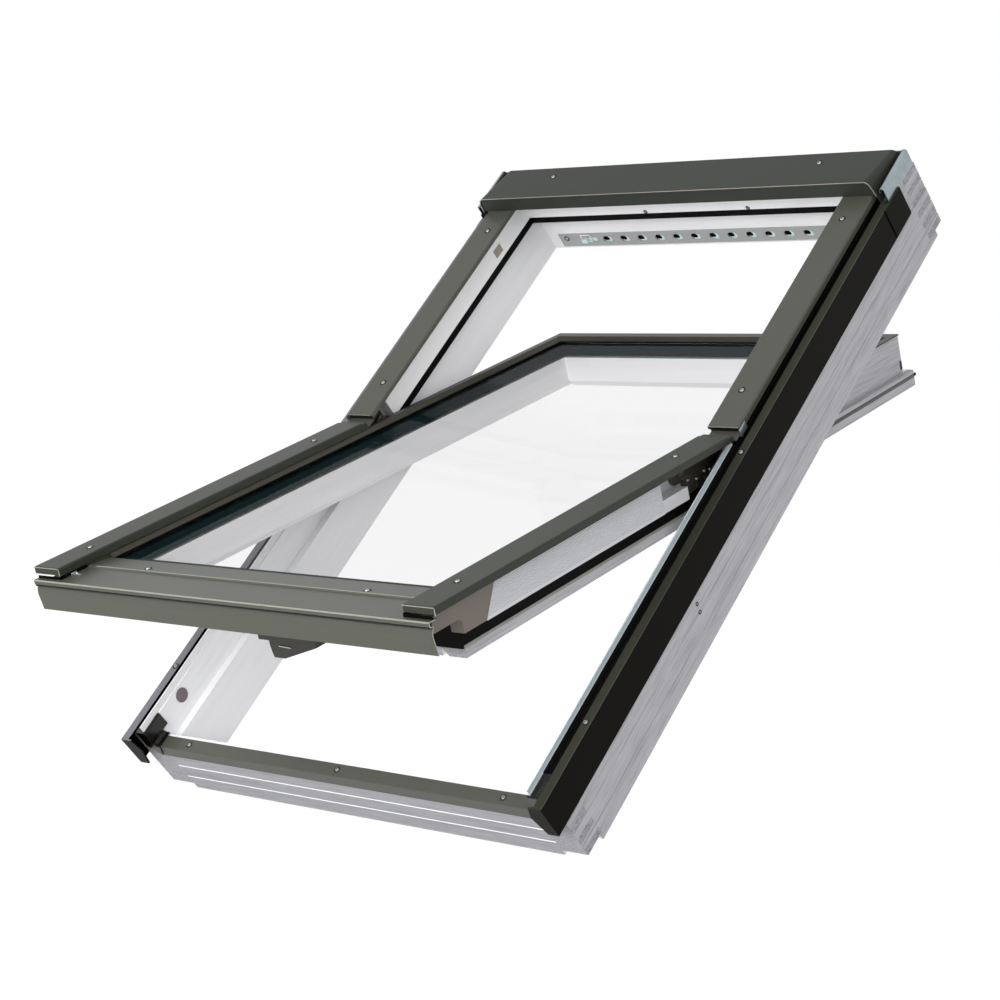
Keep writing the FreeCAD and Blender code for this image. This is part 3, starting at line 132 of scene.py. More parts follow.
class Graph:
    """A node tree with one method that makes every node."""

    def __init__(self, tree: bpy.types.NodeTree) -> None:
        """Start on an empty tree."""
        self.tree = tree
        tree.nodes.clear()

    def add(self, kind: str, settings: Mapping[str, object] | None = None,
            inputs: Mapping[object, object] | None = None) -> bpy.types.Node:
        """Make a node, set it up and fill its sockets.

        Args:
            kind: Node type.
            settings: Properties of the node, set first.
            inputs: Values or links by socket name or number.

        Returns:
            The new node.
        """
        node = self.tree.nodes.new(kind)
        for key, value in (settings or {}).items():
            setattr(node, key, value)
        for key, value in (inputs or {}).items():
            socket = node.inputs[key]
            if isinstance(value, Term):
                value = value.socket
            if isinstance(value, bpy.types.NodeSocket):
                self.tree.links.new(value, socket)
            elif isinstance(value, tuple) and len(value) == 3 and socket.type == "RGBA":
                socket.default_value = (*value, 1.0)
            else:
                socket.default_value = value
        return node

    def term(self, socket: bpy.types.NodeSocket) -> "Term":
        """Wrap a socket for arithmetic."""
        return Term(self, socket)

    def noise(self, vector: bpy.types.NodeSocket, scale: float, detail: float = 3.0) -> "Term":
        """Return smooth noise between 0 and 1 over a vector."""
        made = self.add("ShaderNodeTexNoise", inputs={"Vector": vector, "Scale": scale, "Detail": detail})
        return self.term(made.outputs["Factor"] if "Factor" in made.outputs else made.outputs["Fac"])

    def blend(self, mask: "Term", low: object, high: object) -> bpy.types.NodeSocket:
        """Return a colour that goes from low to high as the mask goes from 0 to 1."""
        made = self.add("ShaderNodeMix", {"data_type": "RGBA"}, {0: mask, 6: low, 7: high})
        return made.outputs[2]

    def stretch(self, vector: bpy.types.NodeSocket, scale: Point) -> bpy.types.NodeSocket:
        """Return the vector scaled by a different number along each axis."""
        made = self.add("ShaderNodeVectorMath", {"operation": "MULTIPLY"}, {0: vector, 1: scale})
        return made.outputs[0]


class Term:
    """A shader value whose arithmetic adds Math nodes."""

    def __init__(self, graph: Graph, socket: bpy.types.NodeSocket) -> None:
        """Wrap a socket of a graph."""
        self.graph = graph
        self.socket = socket

    def _math(self, operation: str, *values: object) -> "Term":
        """Add a Math node over the given values."""
        made = self.graph.add("ShaderNodeMath", {"operation": operation}, dict(enumerate(values)))
        return Term(self.graph, made.outputs[0])

    def __add__(self, other: object) -> "Term":
        """Add."""
        return self._math("ADD", self, other)

    def __radd__(self, other: object) -> "Term":
        """Add to a number."""
        return self._math("ADD", other, self)

    def __sub__(self, other: object) -> "Term":
        """Subtract."""
        return self._math("SUBTRACT", self, other)

    def __rsub__(self, other: object) -> "Term":
        """Subtract from a number."""
        return self._math("SUBTRACT", other, self)

    def __mul__(self, other: object) -> "Term":
        """Multiply."""
        return self._math("MULTIPLY", self, other)

    def __rmul__(self, other: object) -> "Term":
        """Multiply a number."""
        return self._math("MULTIPLY", other, self)

    def __abs__(self) -> "Term":
        """Take the size without its sign."""
        return self._math("ABSOLUTE", self)

    def above(self, limit: float) -> "Term":
        """Return 1 where the value is above a limit and 0 elsewhere."""
        return self._math("GREATER_THAN", self, limit)

    def near(self, centre: float, reach: float) -> "Term":
        """Return 1 where the value is within reach of a centre."""
        return self._math("COMPARE", self, centre, reach)

    def wrap(self, period: float) -> "Term":
        """Repeat the value from 0 to the period."""
        return self._math("WRAP", self, period, 0.0)

    def ramp(self, start: float, end: float) -> "Term":
        """Return 0 before start, 1 after end and a straight slope between."""
        made = self.graph.add("ShaderNodeMapRange", {"clamp": True},
                              {0: self, 1: start, 2: end, 3: 0.0, 4: 1.0})
        return Term(self.graph, made.outputs[0])

    def sine(self) -> "Term":
        """Take the sine."""
        return self._math("SINE", self)


class Finish:
    """A material under construction: its graph, its shader and the drawing coordinates it reads."""

    def __init__(self, name: str, carrier: Carrier) -> None:
        """Start a material whose patterns lie in a carrier's drawing coordinates."""
        self.material = bpy.data.materials.new(name)
        self.material.use_nodes = True
        self.graph = Graph(self.material.node_tree)
        self.shader = self.graph.add("ShaderNodeBsdfPrincipled")
        output = self.graph.add("ShaderNodeOutputMaterial")
        self.material.node_tree.links.new(self.shader.outputs[0], output.inputs[0])
        self.output = output
        source = self.graph.add("ShaderNodeTexCoord")
        turn, shift = carrier.mapping()
        place = self.graph.add("ShaderNodeMapping", inputs={"Vector": source.outputs["Object"],
                                                            "Rotation": turn, "Location": shift})
        self.drawn = place.outputs[0]
        turned = self.graph.add("ShaderNodeMapping", {"vector_type": "NORMAL"},
                                {"Vector": source.outputs["Normal"], "Rotation": turn})
        self.normal = turned.outputs[0]

    def split(self, vector: bpy.types.NodeSocket) -> tuple[Term, Term, Term]:
        """Return the three parts of a vector."""
        made = self.graph.add("ShaderNodeSeparateXYZ", inputs={0: vector})
        return tuple(self.graph.term(output) for output in made.outputs)

    def set(self, name: str, value: object) -> None:
        """Fill a socket of the shader with a value or a link."""
        socket = self.shader.inputs[name]
        if isinstance(value, Term):
            value = value.socket
        if isinstance(value, bpy.types.NodeSocket):
            self.material.node_tree.links.new(value, socket)
        elif socket.type == "RGBA":
            socket.default_value = (*value, 1.0)
        else:
            socket.default_value = value

    def relief(self, height: Term | None, strength: float, edge: float = 0.0) -> None:
        """Add a bump and soften the edges of the shape.

        Args:
            height: Height of the bump, or None for none.
            strength: Share of the bump that shows.
            edge: Radius in millimetres by which edges look rounded, or 0 for sharp ones.
        """
        inputs: dict[object, object] = {}
        if edge:
            rounded = self.graph.add("ShaderNodeBevel", {"samples": 4}, {"Radius": edge * MM})
            inputs["Normal"] = rounded.outputs[0]
        if height is not None:
            inputs.update({"Height": height, "Strength": strength, "Distance": MM})
            self.set("Normal", self.graph.add("ShaderNodeBump", inputs=inputs).outputs[0])
        elif edge:
            self.set("Normal", inputs["Normal"])


class Surface(Protocol):
    """What every finish offers: a name and a material made for a carrier."""

    name: str

    def make(self, carrier: Carrier) -> bpy.types.Material:
        """Build the material on a carrier's drawing coordinates."""


@dataclass(frozen=True)
class Coating:
    """Even finish with a fine relief, for coated metal, rubber and moulded parts.

    Attributes:
        grain: Size of the relief's grain in millimetres, or 0 for none.
        mottle: Share by which the colour wanders, or 0 for an even one.
        edge: Radius in millimetres by which edges look rounded.
    """

    name: str
    colour: str
    roughness: float = 0.4
    metallic: float = 0.0
    coat: float = 0.0
    grain: float = 0.0
    relief: float = 0.1
    mottle: float = 0.0
    edge: float = 0.5
    specular: float = 0.5
    cloud_scale: float = 14.0

    def make(self, carrier: Carrier) -> bpy.types.Material:
        """Build the material on a carrier's drawing coordinates."""
        finish = Finish(f"{self.name}_{carrier.body}", carrier)
        graph = finish.graph
        base = from_hex(self.colour)
        finish.set("Roughness", self.roughness)
        finish.set("Metallic", self.metallic)
        finish.set("Coat Weight", self.coat)
        finish.set("Specular IOR Level", self.specular)
        if self.mottle:
            cloud = graph.noise(finish.drawn, self.cloud_scale)
            lighter = tuple(min(1.0, part * (1 + self.mottle)) for part in base)
            darker = tuple(part * (1 - self.mottle) for part in base)
            finish.set("Base Color", graph.blend(cloud.ramp(0.3, 0.7), darker, lighter))
            finish.set("Roughness", self.roughness + (cloud - 0.5) * 0.15)
        else:
            finish.set("Base Color", base)
        height = graph.noise(finish.drawn, 1 / (self.grain * MM), 1.0) if self.grain else None
        finish.relief(height, self.relief, self.edge)
        return finish.material


@dataclass(frozen=True)
class InwardDarkSteel:
    """Galvanised sheet with faint spangle, dark, rougher and not metallic on the faces that look inwards."""

    name: str
    colour: str
    dark_face: str
    roughness: float = 0.34
    metal_share: float = 0.85
    spangle_scale: float = 60.0
    spangle_shade: float = 0.82

    def make(self, carrier: Carrier) -> bpy.types.Material:
        """Build the material on a carrier's drawing coordinates."""
        finish = Finish(f"{self.name}_{carrier.body}", carrier)
        graph = finish.graph
        across = finish.split(finish.drawn)[0]
        facing = finish.split(finish.normal)[0]
        inside = 1 - (across * facing).above(-0.0001)
        cloud = graph.noise(finish.drawn, self.spangle_scale, 4.0)
        base = from_hex(self.colour)
        darker = tuple(part * self.spangle_shade for part in base)
        spangle = graph.blend(cloud.ramp(0.35, 0.65), darker, base)
        finish.set("Base Color", graph.blend(inside, spangle, from_hex(self.dark_face)))
        finish.set("Metallic", self.metal_share - inside * self.metal_share)
        finish.set("Roughness", self.roughness + (cloud - 0.5) * 0.2 + inside * 0.3)
        finish.relief(cloud, 0.06, 0.5)
        return finish.material


@dataclass(frozen=True)
class PaintedTimber:
    """White paint on glued timber, smooth inside and streaky with visible glue joints outside, with a pale
    line of painted highlight beside each joint.

    Attributes:
        along: Axis that the fibres follow.
        outer_half: Half width beyond which a side face is an outer one, in millimetres.
        outer_low: Lower slope limit of the outer faces, in millimetres.
        outer_high: Upper slope limit of the outer faces, in millimetres.
        lamella: Height of a glued layer in millimetres.
        finger_length: Reach of the finger joints from the foot, or 0 for no fingers.
        finger_head: Slope place at which the finger joints at the head start.
        finger_pitch: Height of a finger and the gap beside it.
        fibre_scale: Scale of the streaks across the fibres.
        fibre_run: Scale of the streaks along the fibres.
    """

    name: str
    along: Axis
    outer_half: float
    outer_low: float
    outer_high: float
    paint: str = "F4F4F6"
    streak: str = "C6C7CB"
    outer: str = "B6B6BA"
    outer_streak: str = "6A6A71"
    end_tone: str = "5F5F68"
    end_pale: str = "A9A8AE"
    ring_scale: Point = (160.0, 160.0, 700.0)
    glue_tone: str = "84848A"
    bevel_highlight_tone: str = "DCDCE0"
    lamella: float = 26.0
    finger_length: float = 0.0
    finger_head: float = 1180.0
    finger_pitch: float = 21.0
    fibre_scale: float = 110.0
    fibre_run: float = 5.0
    glue_half: float = 0.35
    bevel_highlight_level: float = 1.0
    bevel_highlight_half: float = 0.4

    def make(self, carrier: Carrier) -> bpy.types.Material:
        """Build the material on a carrier's drawing coordinates."""
        finish = Finish(f"{self.name}_{carrier.body}", carrier)
        graph = finish.graph
        across, slope, out = finish.split(finish.drawn)
        facing = finish.split(finish.normal)
        outer = abs(across).above((self.outer_half - 0.6) * MM)
        outer = outer + (1 - slope.above((self.outer_low + 0.3) * MM))
        outer = outer + slope.above((self.outer_high - 0.3) * MM)
        outer = outer.ramp(0.0, 1.0)
        fibres = self.streaks(finish, 1.0, 5.0)
        broad = self.streaks(finish, 0.22, 3.0)
        fine = self.streaks(finish, 3.4, 4.0)
        streaks = fibres.ramp(0.46, 0.74) * broad.ramp(0.35, 0.7)
        end = abs(facing[self.along.value]).above(0.8)
        plain = graph.blend(streaks * 0.22, from_hex(self.paint), from_hex(self.streak))
        lined = (fine.ramp(0.42, 0.68) * 0.34 + streaks * 0.4 + broad.ramp(0.45, 0.75) * 0.1).ramp(0.0, 1.0)
        rough = graph.blend(lined, from_hex(self.outer), from_hex(self.outer_streak))
        colour = graph.blend(outer, plain, rough)
        glue = out.wrap(self.lamella * MM).near(0.0, self.glue_half * MM)
        colour = graph.blend(glue * outer * 0.7, colour, from_hex(self.glue_tone))
        # Painted highlight: a pale line just above each glue joint on the outer faces, for light caught by
        # the joint's bevel.
        bright = out.wrap(self.lamella * MM).near(self.bevel_highlight_level * MM, self.bevel_highlight_half * MM)
        colour = graph.blend(bright * outer * 0.45, colour, from_hex(self.bevel_highlight_tone))
        rings = graph.noise(graph.stretch(finish.drawn, self.ring_scale), 1.0, 3.0)
        ends = graph.blend(rings.ramp(0.35, 0.65), from_hex(self.end_tone), from_hex(self.end_pale))
        colour = graph.blend(end * outer * 0.5, colour, ends)
        if self.finger_length:
            reach = 1 - slope.above(self.finger_length * MM) + slope.above(self.finger_head * MM)
            reach = reach * (1 - end)
            finger = out.wrap(self.finger_pitch * MM).above(self.finger_pitch / 2 * MM)
            colour = graph.blend(reach * finger * outer * 0.75, colour, ends)
        finish.set("Base Color", colour)
        finish.set("Roughness", 0.38 + outer * 0.2)
        finish.relief(fibres * (0.25 + outer * 0.9), 0.25, 1.0)
        return finish.material

    def streaks(self, finish: Finish, share: float, detail: float) -> Term:
        """Return noise drawn out along the fibres.

        Args:
            finish: Finish whose drawing coordinates are read.
            share: Fineness as a share of the fibres' own scale.
            detail: Detail of the noise.

        Returns:
            Noise between 0 and 1.
        """
        scale = [self.fibre_scale * share] * 3
        scale[self.along.value] = self.fibre_run * share
        return finish.graph.noise(finish.graph.stretch(finish.drawn, tuple(scale)), 1.0, detail)


@dataclass(frozen=True)
class RibbedSheet:
    """Thin pale sheet with fine ribs across its length, whose colour darkens in the hollows between ribs as
    painted shade.

    Attributes:
        pitch: Distance between two ribs in millimetres.
        inner: Colour of the faces that look inwards.
        foot: Colour below the level foot_top.
    """

    name: str
    colour: str
    pitch: float
    inner: str = "F2F2F4"
    foot: str = "F6F8FA"
    foot_top: float = 131.5
    roughness: float = 0.35
    rib_shade: float = 0.74

    def make(self, carrier: Carrier) -> bpy.types.Material:
        """Build the material on a carrier's drawing coordinates."""
        finish = Finish(f"{self.name}_{carrier.body}", carrier)
        across, slope, out = finish.split(finish.drawn)
        facing = finish.split(finish.normal)
        wave = (slope * (2 * math.pi / (self.pitch * MM))).sine()
        base = from_hex(self.colour)
        # Painted shade: the colour darkens by rib_shade in the hollows between the ribs.
        darker = tuple(part * self.rib_shade for part in base)
        ribbed = finish.graph.blend(wave.ramp(-0.6, 0.9), darker, base)
        ribbed = finish.graph.blend(out.above(self.foot_top * MM), from_hex(self.foot), ribbed)
        inside = 1 - (across * facing[0]).above(0.0)
        finish.set("Base Color", finish.graph.blend(inside, ribbed, from_hex(self.inner)))
        finish.set("Roughness", self.roughness)
        finish.relief(wave, 0.4)
        return finish.material


@dataclass(frozen=True)
class EdgedCoating:
    """Coating that paints light and shade: near black on the side faces as painted shade, with a top strip of
    another tone on each side of the window as painted light.

    Attributes:
        left_top: Colour of the top strip on the left, lighter as painted light.
        right_top: Colour of the top strip on the right, darker as painted shade.
        top_level: Level in millimetres above which a face belongs to the top strip.
    """

    name: str
    colour: str
    left_top: str
    right_top: str
    top_level: float
    roughness: float = 0.3
    specular: float = 0.04
    grain: float = 0.9

    def make(self, carrier: Carrier) -> bpy.types.Material:
        """Build the material on a carrier's drawing coordinates."""
        finish = Finish(f"{self.name}_{carrier.body}", carrier)
        graph = finish.graph
        across, _, out = finish.split(finish.drawn)
        facing = finish.split(finish.normal)
        # Painted light and shade: faces that look up above top_level take their side's top tone, the rest the
        # near-black colour.
        top = out.above(self.top_level * MM) * facing[2].above(0.7)
        strip = graph.blend(across.above(0.0), from_hex(self.left_top), from_hex(self.right_top))
        finish.set("Base Color", graph.blend(top, from_hex(self.colour), strip))
        finish.set("Roughness", self.roughness + top * 0.1)
        finish.set("Specular IOR Level", self.specular)
        finish.relief(graph.noise(finish.drawn, 1 / (self.grain * MM), 1.0), 0.04, 0.8)
        return finish.material


@dataclass(frozen=True)
class FloatGlass:
    """Clear glass that lets light and shadow pass, with a reflection that grows at a low angle.

    Attributes:
        share: Share of the full reflection that is kept.
        index: Refractive index that the reflection is worked out from.
    """

    name: str
    tint: str = "FCFCFC"
    share: float = 0.14
    index: float = 1.45

    def make(self, carrier: Carrier) -> bpy.types.Material:
        """Build the material; the drawing coordinates aren't needed."""
        finish = Finish(f"{self.name}_{carrier.body}", carrier)
        graph = finish.graph
        finish.set("Base Color", WHITE_LIGHT)
        finish.set("Metallic", 1.0)
        finish.set("Roughness", 0.02)
        clear = graph.add("ShaderNodeBsdfTransparent", inputs={"Color": from_hex(self.tint)})
        gloss = graph.term(graph.add("ShaderNodeFresnel", inputs={"IOR": self.index}).outputs[0])
        inside = graph.term(graph.add("ShaderNodeNewGeometry").outputs["Backfacing"])
        mixed = graph.add("ShaderNodeMixShader", inputs={0: gloss * (1 - inside) * self.share,
                                                         1: clear.outputs[0], 2: finish.shader.outputs[0]})
        finish.material.node_tree.links.new(mixed.outputs[0], finish.output.inputs[0])
        return finish.material


class Palette:
    """Every finish of the window, each made once for each carrier that wears it."""

    COATED = Coating("grey_brown_coating", "4A4C44", 0.42, grain=0.9, relief=0.05, edge=1.2, specular=0.28)
    # Painted shade: a darker copy of the grey-brown coating for the sash's side covers, tuned to how light
    # falls on them.
    SASH_SHADED_COATING = Coating("grey_brown_sash_coating", "30332B", 0.4, grain=0.9, relief=0.05, edge=1.2,
                          specular=0.2)
    # Painted shade: a darker copy of the grey-brown coating for the hood, tuned to how light falls on it.
    HOOD_SHADED_COATING = Coating("grey_brown_hood_coating", "30332E", 0.44, grain=0.9, relief=0.05, edge=1.0,
                          specular=0.15)
    # Painted light: a slightly lighter copy of the grey-brown coating for the sill, tuned to how light falls
    # on it.
    SILL_LIT_COATING = Coating("grey_brown_sill_coating", "4C4E45", 0.36, grain=0.9, relief=0.04, edge=1.0,
                          specular=0.3)
    # Painted highlight: a light tone of the grey-brown coating, laid as thin strips on folds, edges and
    # corners.
    FOLD_HIGHLIGHT = Coating("painted_fold_highlight", "85877B", 0.3, edge=0.0, specular=0.6)
    SEAM_COATED = Coating("dark_glazing_profile_coating", "35332A", 0.4, grain=0.9, relief=0.04, edge=0.5,
                          specular=0.3)
    # Painted shade on the profiles' near-black sides, and painted light in the lighter left top strip against
    # the darker right one.
    PROFILE = EdgedCoating("dark_brown_profile_coating", "080603", "7A777E", "36372E", 129.5)
    PROFILE_EDGE = Coating("lit_profile_edge", "40403A", 0.35, edge=0.0)
    GASKET = Coating("black_rubber", "050504", 0.5, grain=1.6, relief=0.1, specular=0.05)
    SPACER = Coating("dark_edge_seal", "03191C", 0.45, specular=0.05)
    HANDLE = Coating("olive_handle_coating", "2E2D28", 0.36, grain=0.7, relief=0.08, edge=1.0, specular=0.3)
    GRILLE = Coating("grey_grille_coating", "A3A6A4", 0.42, grain=0.9, relief=0.05, specular=0.35)
    WHITE = Coating("white_plastic", "FBFBFC", 0.4, edge=0.8)
    RIB_WHITE = Coating("pale_ribbed_plastic", "D2D2D6", 0.42, edge=0.3)
    SHUTTER = Coating("pale_shutter_plastic", "CFE3E6", 0.4)
    ZINC = Coating("galvanised_steel", "9FABAF", 0.34, metallic=0.85, grain=3.0, relief=0.06, mottle=0.14)
    BRACKET = InwardDarkSteel("bracket_steel_dark_inwards", "9FABAF", "16150F")
    BLACK_STEEL = Coating("black_hinge_steel", "38342F", 0.28, coat=0.5, edge=1.2)
    RIVET = Coating("bright_rivet_steel", "A9AEB0", 0.25, metallic=0.8, edge=0.4)
    BLACK_PLASTIC = Coating("black_moulded_plastic", "0B0806", 0.26, specular=0.4, grain=1.2, relief=0.05,
                            edge=1.0)
    TAUPE = Coating("taupe_moulded_plastic", "70675F", 0.5, grain=1.0, relief=0.1, edge=1.0)
    PLUG = Coating("brown_plug", "6F6268", 0.5)
    SCREW = Coating("bright_screw_steel", "B4B6B2", 0.28, metallic=0.7, edge=0.0)
    RAW_EDGE = Coating("bare_aluminium_edge", "B9B2A6", 0.4, metallic=0.3, edge=0.0)
    BARE_PLATE = Coating("tan_bare_plate", "9C9384", 0.45, edge=0.3)
    # Painted shade: a dark brown sheet behind the grille's slots stands for the shade inside the channel.
    SLOT_SHADE = Coating("painted_channel_shade", "1E1410", 0.7, edge=0.0, specular=0.1)
    BEAD = Coating("grey_gasket_bead", "86887F", 0.45)
    SEAL = Coating("grey_side_seal", "3A3937", 0.45)
    # Painted shade: near black for screw recesses and the rings round screw heads, the strip under the sill's
    # nose and the catch slots.
    RECESS_SHADE = Coating("painted_recess_shade", "0B0B0A", 0.7, edge=0.0)
    SIDE_TIMBER = PaintedTimber("painted_side_timber", Axis.SLOPE, 389.0, 0.0, 1180.0, finger_length=37.0,
                                finger_head=1136.0)
    # Painted shade: the cross members' outer tone is a darker copy of the side members' outer tone.
    CROSS_TIMBER = PaintedTimber("painted_cross_timber", Axis.ACROSS, 389.0, 0.0, 1180.0, outer="A8A8AC")
    SASH_SIDE_TIMBER = PaintedTimber("painted_sash_timber", Axis.SLOPE, 330.6, 36.0, 1117.0)
    SASH_CROSS_TIMBER = PaintedTimber("painted_sash_cross_timber", Axis.ACROSS, 330.6, 36.0, 1103.0)
    RIBBED = RibbedSheet("ribbed_pale_aluminium", "D2EEF6", 3.0)
    GLASS = FloatGlass("clear_float_glass")

    def __init__(self) -> None:
        """Start with nothing made."""
        self.made: dict[tuple[str, str], bpy.types.Material] = {}

    def get(self, finish: Surface, carrier: Carrier) -> bpy.types.Material:
        """Return the material of a finish on a carrier, made the first time it is asked for."""
        key = (finish.name, carrier.body)
        if key not in self.made:
            self.made[key] = finish.make(carrier)
        return self.made[key]


PALETTE = Palette()


def settle(obj: bpy.types.Object, smooth: float = 35.0) -> bpy.types.Object:
    """Turn an object with modifiers into a plain mesh with smooth faces and sharp edges.

    Args:
        obj: Object whose modifiers are to be applied.
        smooth: Angle in degrees past which an edge stays sharp.

    Returns:
        The same object.
    """
    graph = bpy.context.evaluated_depsgraph_get()
    mesh = bpy.data.meshes.new_from_object(obj.evaluated_get(graph), preserve_all_data_layers=True,
                                           depsgraph=graph)
    obj.modifiers.clear()
    obj.data = mesh
    mesh.name = obj.name
    mesh.polygons.foreach_set("use_smooth", [True] * len(mesh.polygons))
    mesh.set_sharp_from_angle(angle=math.radians(smooth))
    return obj


class Shape:
    """A mesh drawn in a carrier's millimetres."""

    def __init__(self) -> None:
        """Start empty."""
        self.mesh = bmesh.new()

    def prism(self, outline: Sequence[Flat], axis: Axis, low: float, high: float) -> "Shape":
        """Add a straight solid whose outline lies across an axis.

        Args:
            outline: Corners in the other two axes, in their order.
            axis: Axis that the solid runs along.
            low: Start along the axis.
            high: End along the axis.

        Returns:
            The shape itself.
        """
        def place(flat: Flat, level: float) -> Point:
            """Put a flat corner at a level along the axis."""
            point = list(flat)
            point.insert(axis.value, level)
            return tuple(point)

        rings = [[self.mesh.verts.new(place(flat, level)) for flat in outline] for level in (low, high)]
        count = len(outline)
        self.mesh.faces.new(rings[0])
        self.mesh.faces.new(rings[1][::-1])
        for i in range(count):
            j = (i + 1) % count
            self.mesh.faces.new((rings[0][i], rings[0][j], rings[1][j], rings[1][i]))
        return self

    def block(self, across: Flat, slope: Flat, out: Flat) -> "Shape":
        """Add a box between two limits on each axis."""
        corners = [(slope[0], out[0]), (slope[1], out[0]), (slope[1], out[1]), (slope[0], out[1])]
        return self.prism(corners, Axis.ACROSS, *across)

    def pair(self, across: Flat, slope: Flat, out: Flat) -> "Shape":
        """Add a box right of the window's middle and its mirror image on the left."""
        low, high = across
        return self.block((-high, -low), slope, out).block((low, high), slope, out)

    def peg(self, radius: float, base: Point, axis: Axis, length: float, top: float,
            segments: int) -> "Shape":
        """Add a round pin whose top radius may differ from that of its base.

        Args:
            radius: Radius at the base.
            base: Middle of the base.
            axis: Axis that the pin stands along.
            length: Length along the axis.
            top: Radius at the top.
            segments: Number of its sides.

        Returns:
            The shape itself.
        """
        cone = bmesh.ops.create_cone(self.mesh, cap_ends=True, segments=segments, radius1=radius, radius2=top,
                                     depth=length)
        turn = {Axis.ACROSS: Matrix.Rotation(math.pi / 2, 4, "Y"),
                Axis.SLOPE: Matrix.Rotation(-math.pi / 2, 4, "X"), Axis.OUT: Matrix.Identity(4)}[axis]
        middle = list(base)
        middle[axis.value] += length / 2
        bmesh.ops.transform(self.mesh, matrix=Matrix.Translation(middle) @ turn, verts=cone["verts"])
        return self

    def bar(self, start: Flat, end: Flat, half: float, axis: Axis, low: float, high: float,
            segments: int = 10) -> "Shape":
        """Add a flat link with round ends.

        Args:
            start: Middle of the first end, in the two axes that the link lies in.
            end: Middle of the other end.
            half: Half width.
            axis: Axis that the link's thickness runs along.
            low: Start along the axis.
            high: End along the axis.
            segments: Number of sides of each round end.

        Returns:
            The shape itself.
        """
        way = math.atan2(end[1] - start[1], end[0] - start[0])
        outline = []
        for centre, base in ((start, way + math.pi / 2), (end, way - math.pi / 2)):
            for step in range(segments + 1):
                turn = base + math.pi * step / segments
                outline.append((centre[0] + half * math.cos(turn), centre[1] + half * math.sin(turn)))
        return self.prism(outline, axis, low, high)

    def finish(self, name: str, carrier: Carrier, finish: Surface, slot: str,
               bevel: float = 0.0) -> bpy.types.Object:
        """Close the mesh, put it in place, and hand it to its body.

        Args:
            name: Piece name.
            carrier: Drawing coordinates the shape was made in.
            finish: Finish to wear.
            slot: Material slot of the record that the finish belongs to; not used.
            bevel: Width of the rounded edges in millimetres.

        Returns:
            The finished object.
        """
        bmesh.ops.remove_doubles(self.mesh, verts=self.mesh.verts, dist=0.0005)
        bmesh.ops.recalc_face_normals(self.mesh, faces=self.mesh.faces)
        self.mesh.transform(carrier.matrix())
        mesh = bpy.data.meshes.new(name)
        self.mesh.to_mesh(mesh)
        self.mesh.free()
        obj = bpy.data.objects.new(name, mesh)
        bpy.context.scene.collection.objects.link(obj)
        mesh.materials.append(PALETTE.get(finish, carrier))
        if bevel:
            rounding = obj.modifiers.new("rounding", "BEVEL")
            rounding.width = bevel * MM
            rounding.segments = 2
            rounding.limit_method = "ANGLE"
        settle(obj)
        return hand_over(obj, carrier)


def hand_over(obj: bpy.types.Object, carrier: Carrier) -> bpy.types.Object:
    """Let a finished piece ride on its body."""
    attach(obj, carrier.body)
    LOG.info("piece %s rides on %s with %d faces", obj.name, carrier.body, len(obj.data.polygons))
    return obj


def dress(node: str, finish: Surface, carrier: Carrier) -> None:
    """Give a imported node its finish."""
    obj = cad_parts[node]
    material = PALETTE.get(finish, carrier)
    if not obj.material_slots:
        obj.data.materials.append(material)
    for slot in obj.material_slots:
        slot.material = material
    LOG.info("node %s wears %s", node, material.name)


class Tree(Graph):
    """A geometry tree with named inputs that ends in realized instances."""

    def __init__(self, name: str) -> None:
        """Start a tree with one geometry input and one geometry output."""
        super().__init__(bpy.data.node_groups.new(name, "GeometryNodeTree"))
        self.tree.interface.new_socket("Geometry", in_out="INPUT", socket_type="NodeSocketGeometry")
        self.tree.interface.new_socket("Geometry", in_out="OUTPUT", socket_type="NodeSocketGeometry")
        self.entry = self.add("NodeGroupInput")
        self.exit = self.add("NodeGroupOutput")
        self.names: dict[str, str] = {}

    def ask(self, name: str, kind: str, default: object) -> bpy.types.NodeSocket:
        """Add a named input to the tree and return its socket."""
        made = self.tree.interface.new_socket(name, in_out="INPUT", socket_type=kind)
        made.default_value = default
        self.names[name] = made.identifier
        return self.entry.outputs[name]

    def close(self, geometry: bpy.types.NodeSocket) -> None:
        """Realize what the tree makes and pass it out."""
        real = self.add("GeometryNodeRealizeInstances", inputs={0: geometry})
        self.tree.links.new(real.outputs[0], self.exit.inputs[0])

    def painted(self, geometry: bpy.types.NodeSocket, material: bpy.types.Material) -> bpy.types.NodeSocket:
        """Return geometry with a material set on it."""
        made = self.add("GeometryNodeSetMaterial", inputs={"Geometry": geometry, "Material": material})
        return made.outputs[0]

    def moved(self, geometry: object, shift: object = (0, 0, 0),
              turn: object = (0, 0, 0)) -> bpy.types.NodeSocket:
        """Return geometry turned and then shifted."""
        made = self.add("GeometryNodeTransform", inputs={"Geometry": geometry, "Translation": shift,
                                                         "Rotation": turn})
        return made.outputs[0]

    def together(self, *parts: bpy.types.NodeSocket) -> bpy.types.NodeSocket:
        """Join several geometries."""
        made = self.add("GeometryNodeJoinGeometry")
        for part in parts:
            self.tree.links.new(part, made.inputs[0])
        return made.outputs[0]

    def run(self, name: str, points: Sequence[Point], carrier: Carrier, slot: str,
            values: Mapping[str, object]) -> bpy.types.Object:
        """Run the tree over points drawn in millimetres and hand the result to its body.

        Args:
            name: Piece name.
            points: One point for each repeat.
            carrier: Drawing coordinates of the points.
            slot: Material slot of the record; not used.
            values: Sizes by input name.

        Returns:
            The finished object.
        """
        mesh = bpy.data.meshes.new(name)
        mesh.from_pydata([Vector(point) * MM for point in points], [], [])
        obj = bpy.data.objects.new(name, mesh)
        bpy.context.scene.collection.objects.link(obj)
        modifier = obj.modifiers.new("repeat", "NODES")
        modifier.node_group = self.tree
        for key, value in values.items():
            modifier[self.names[key]] = value
        settle(obj)
        drawn = carrier.matrix() @ Matrix.Scale(1 / MM, 4)
        obj.data.transform(drawn)
        return hand_over(obj, carrier)


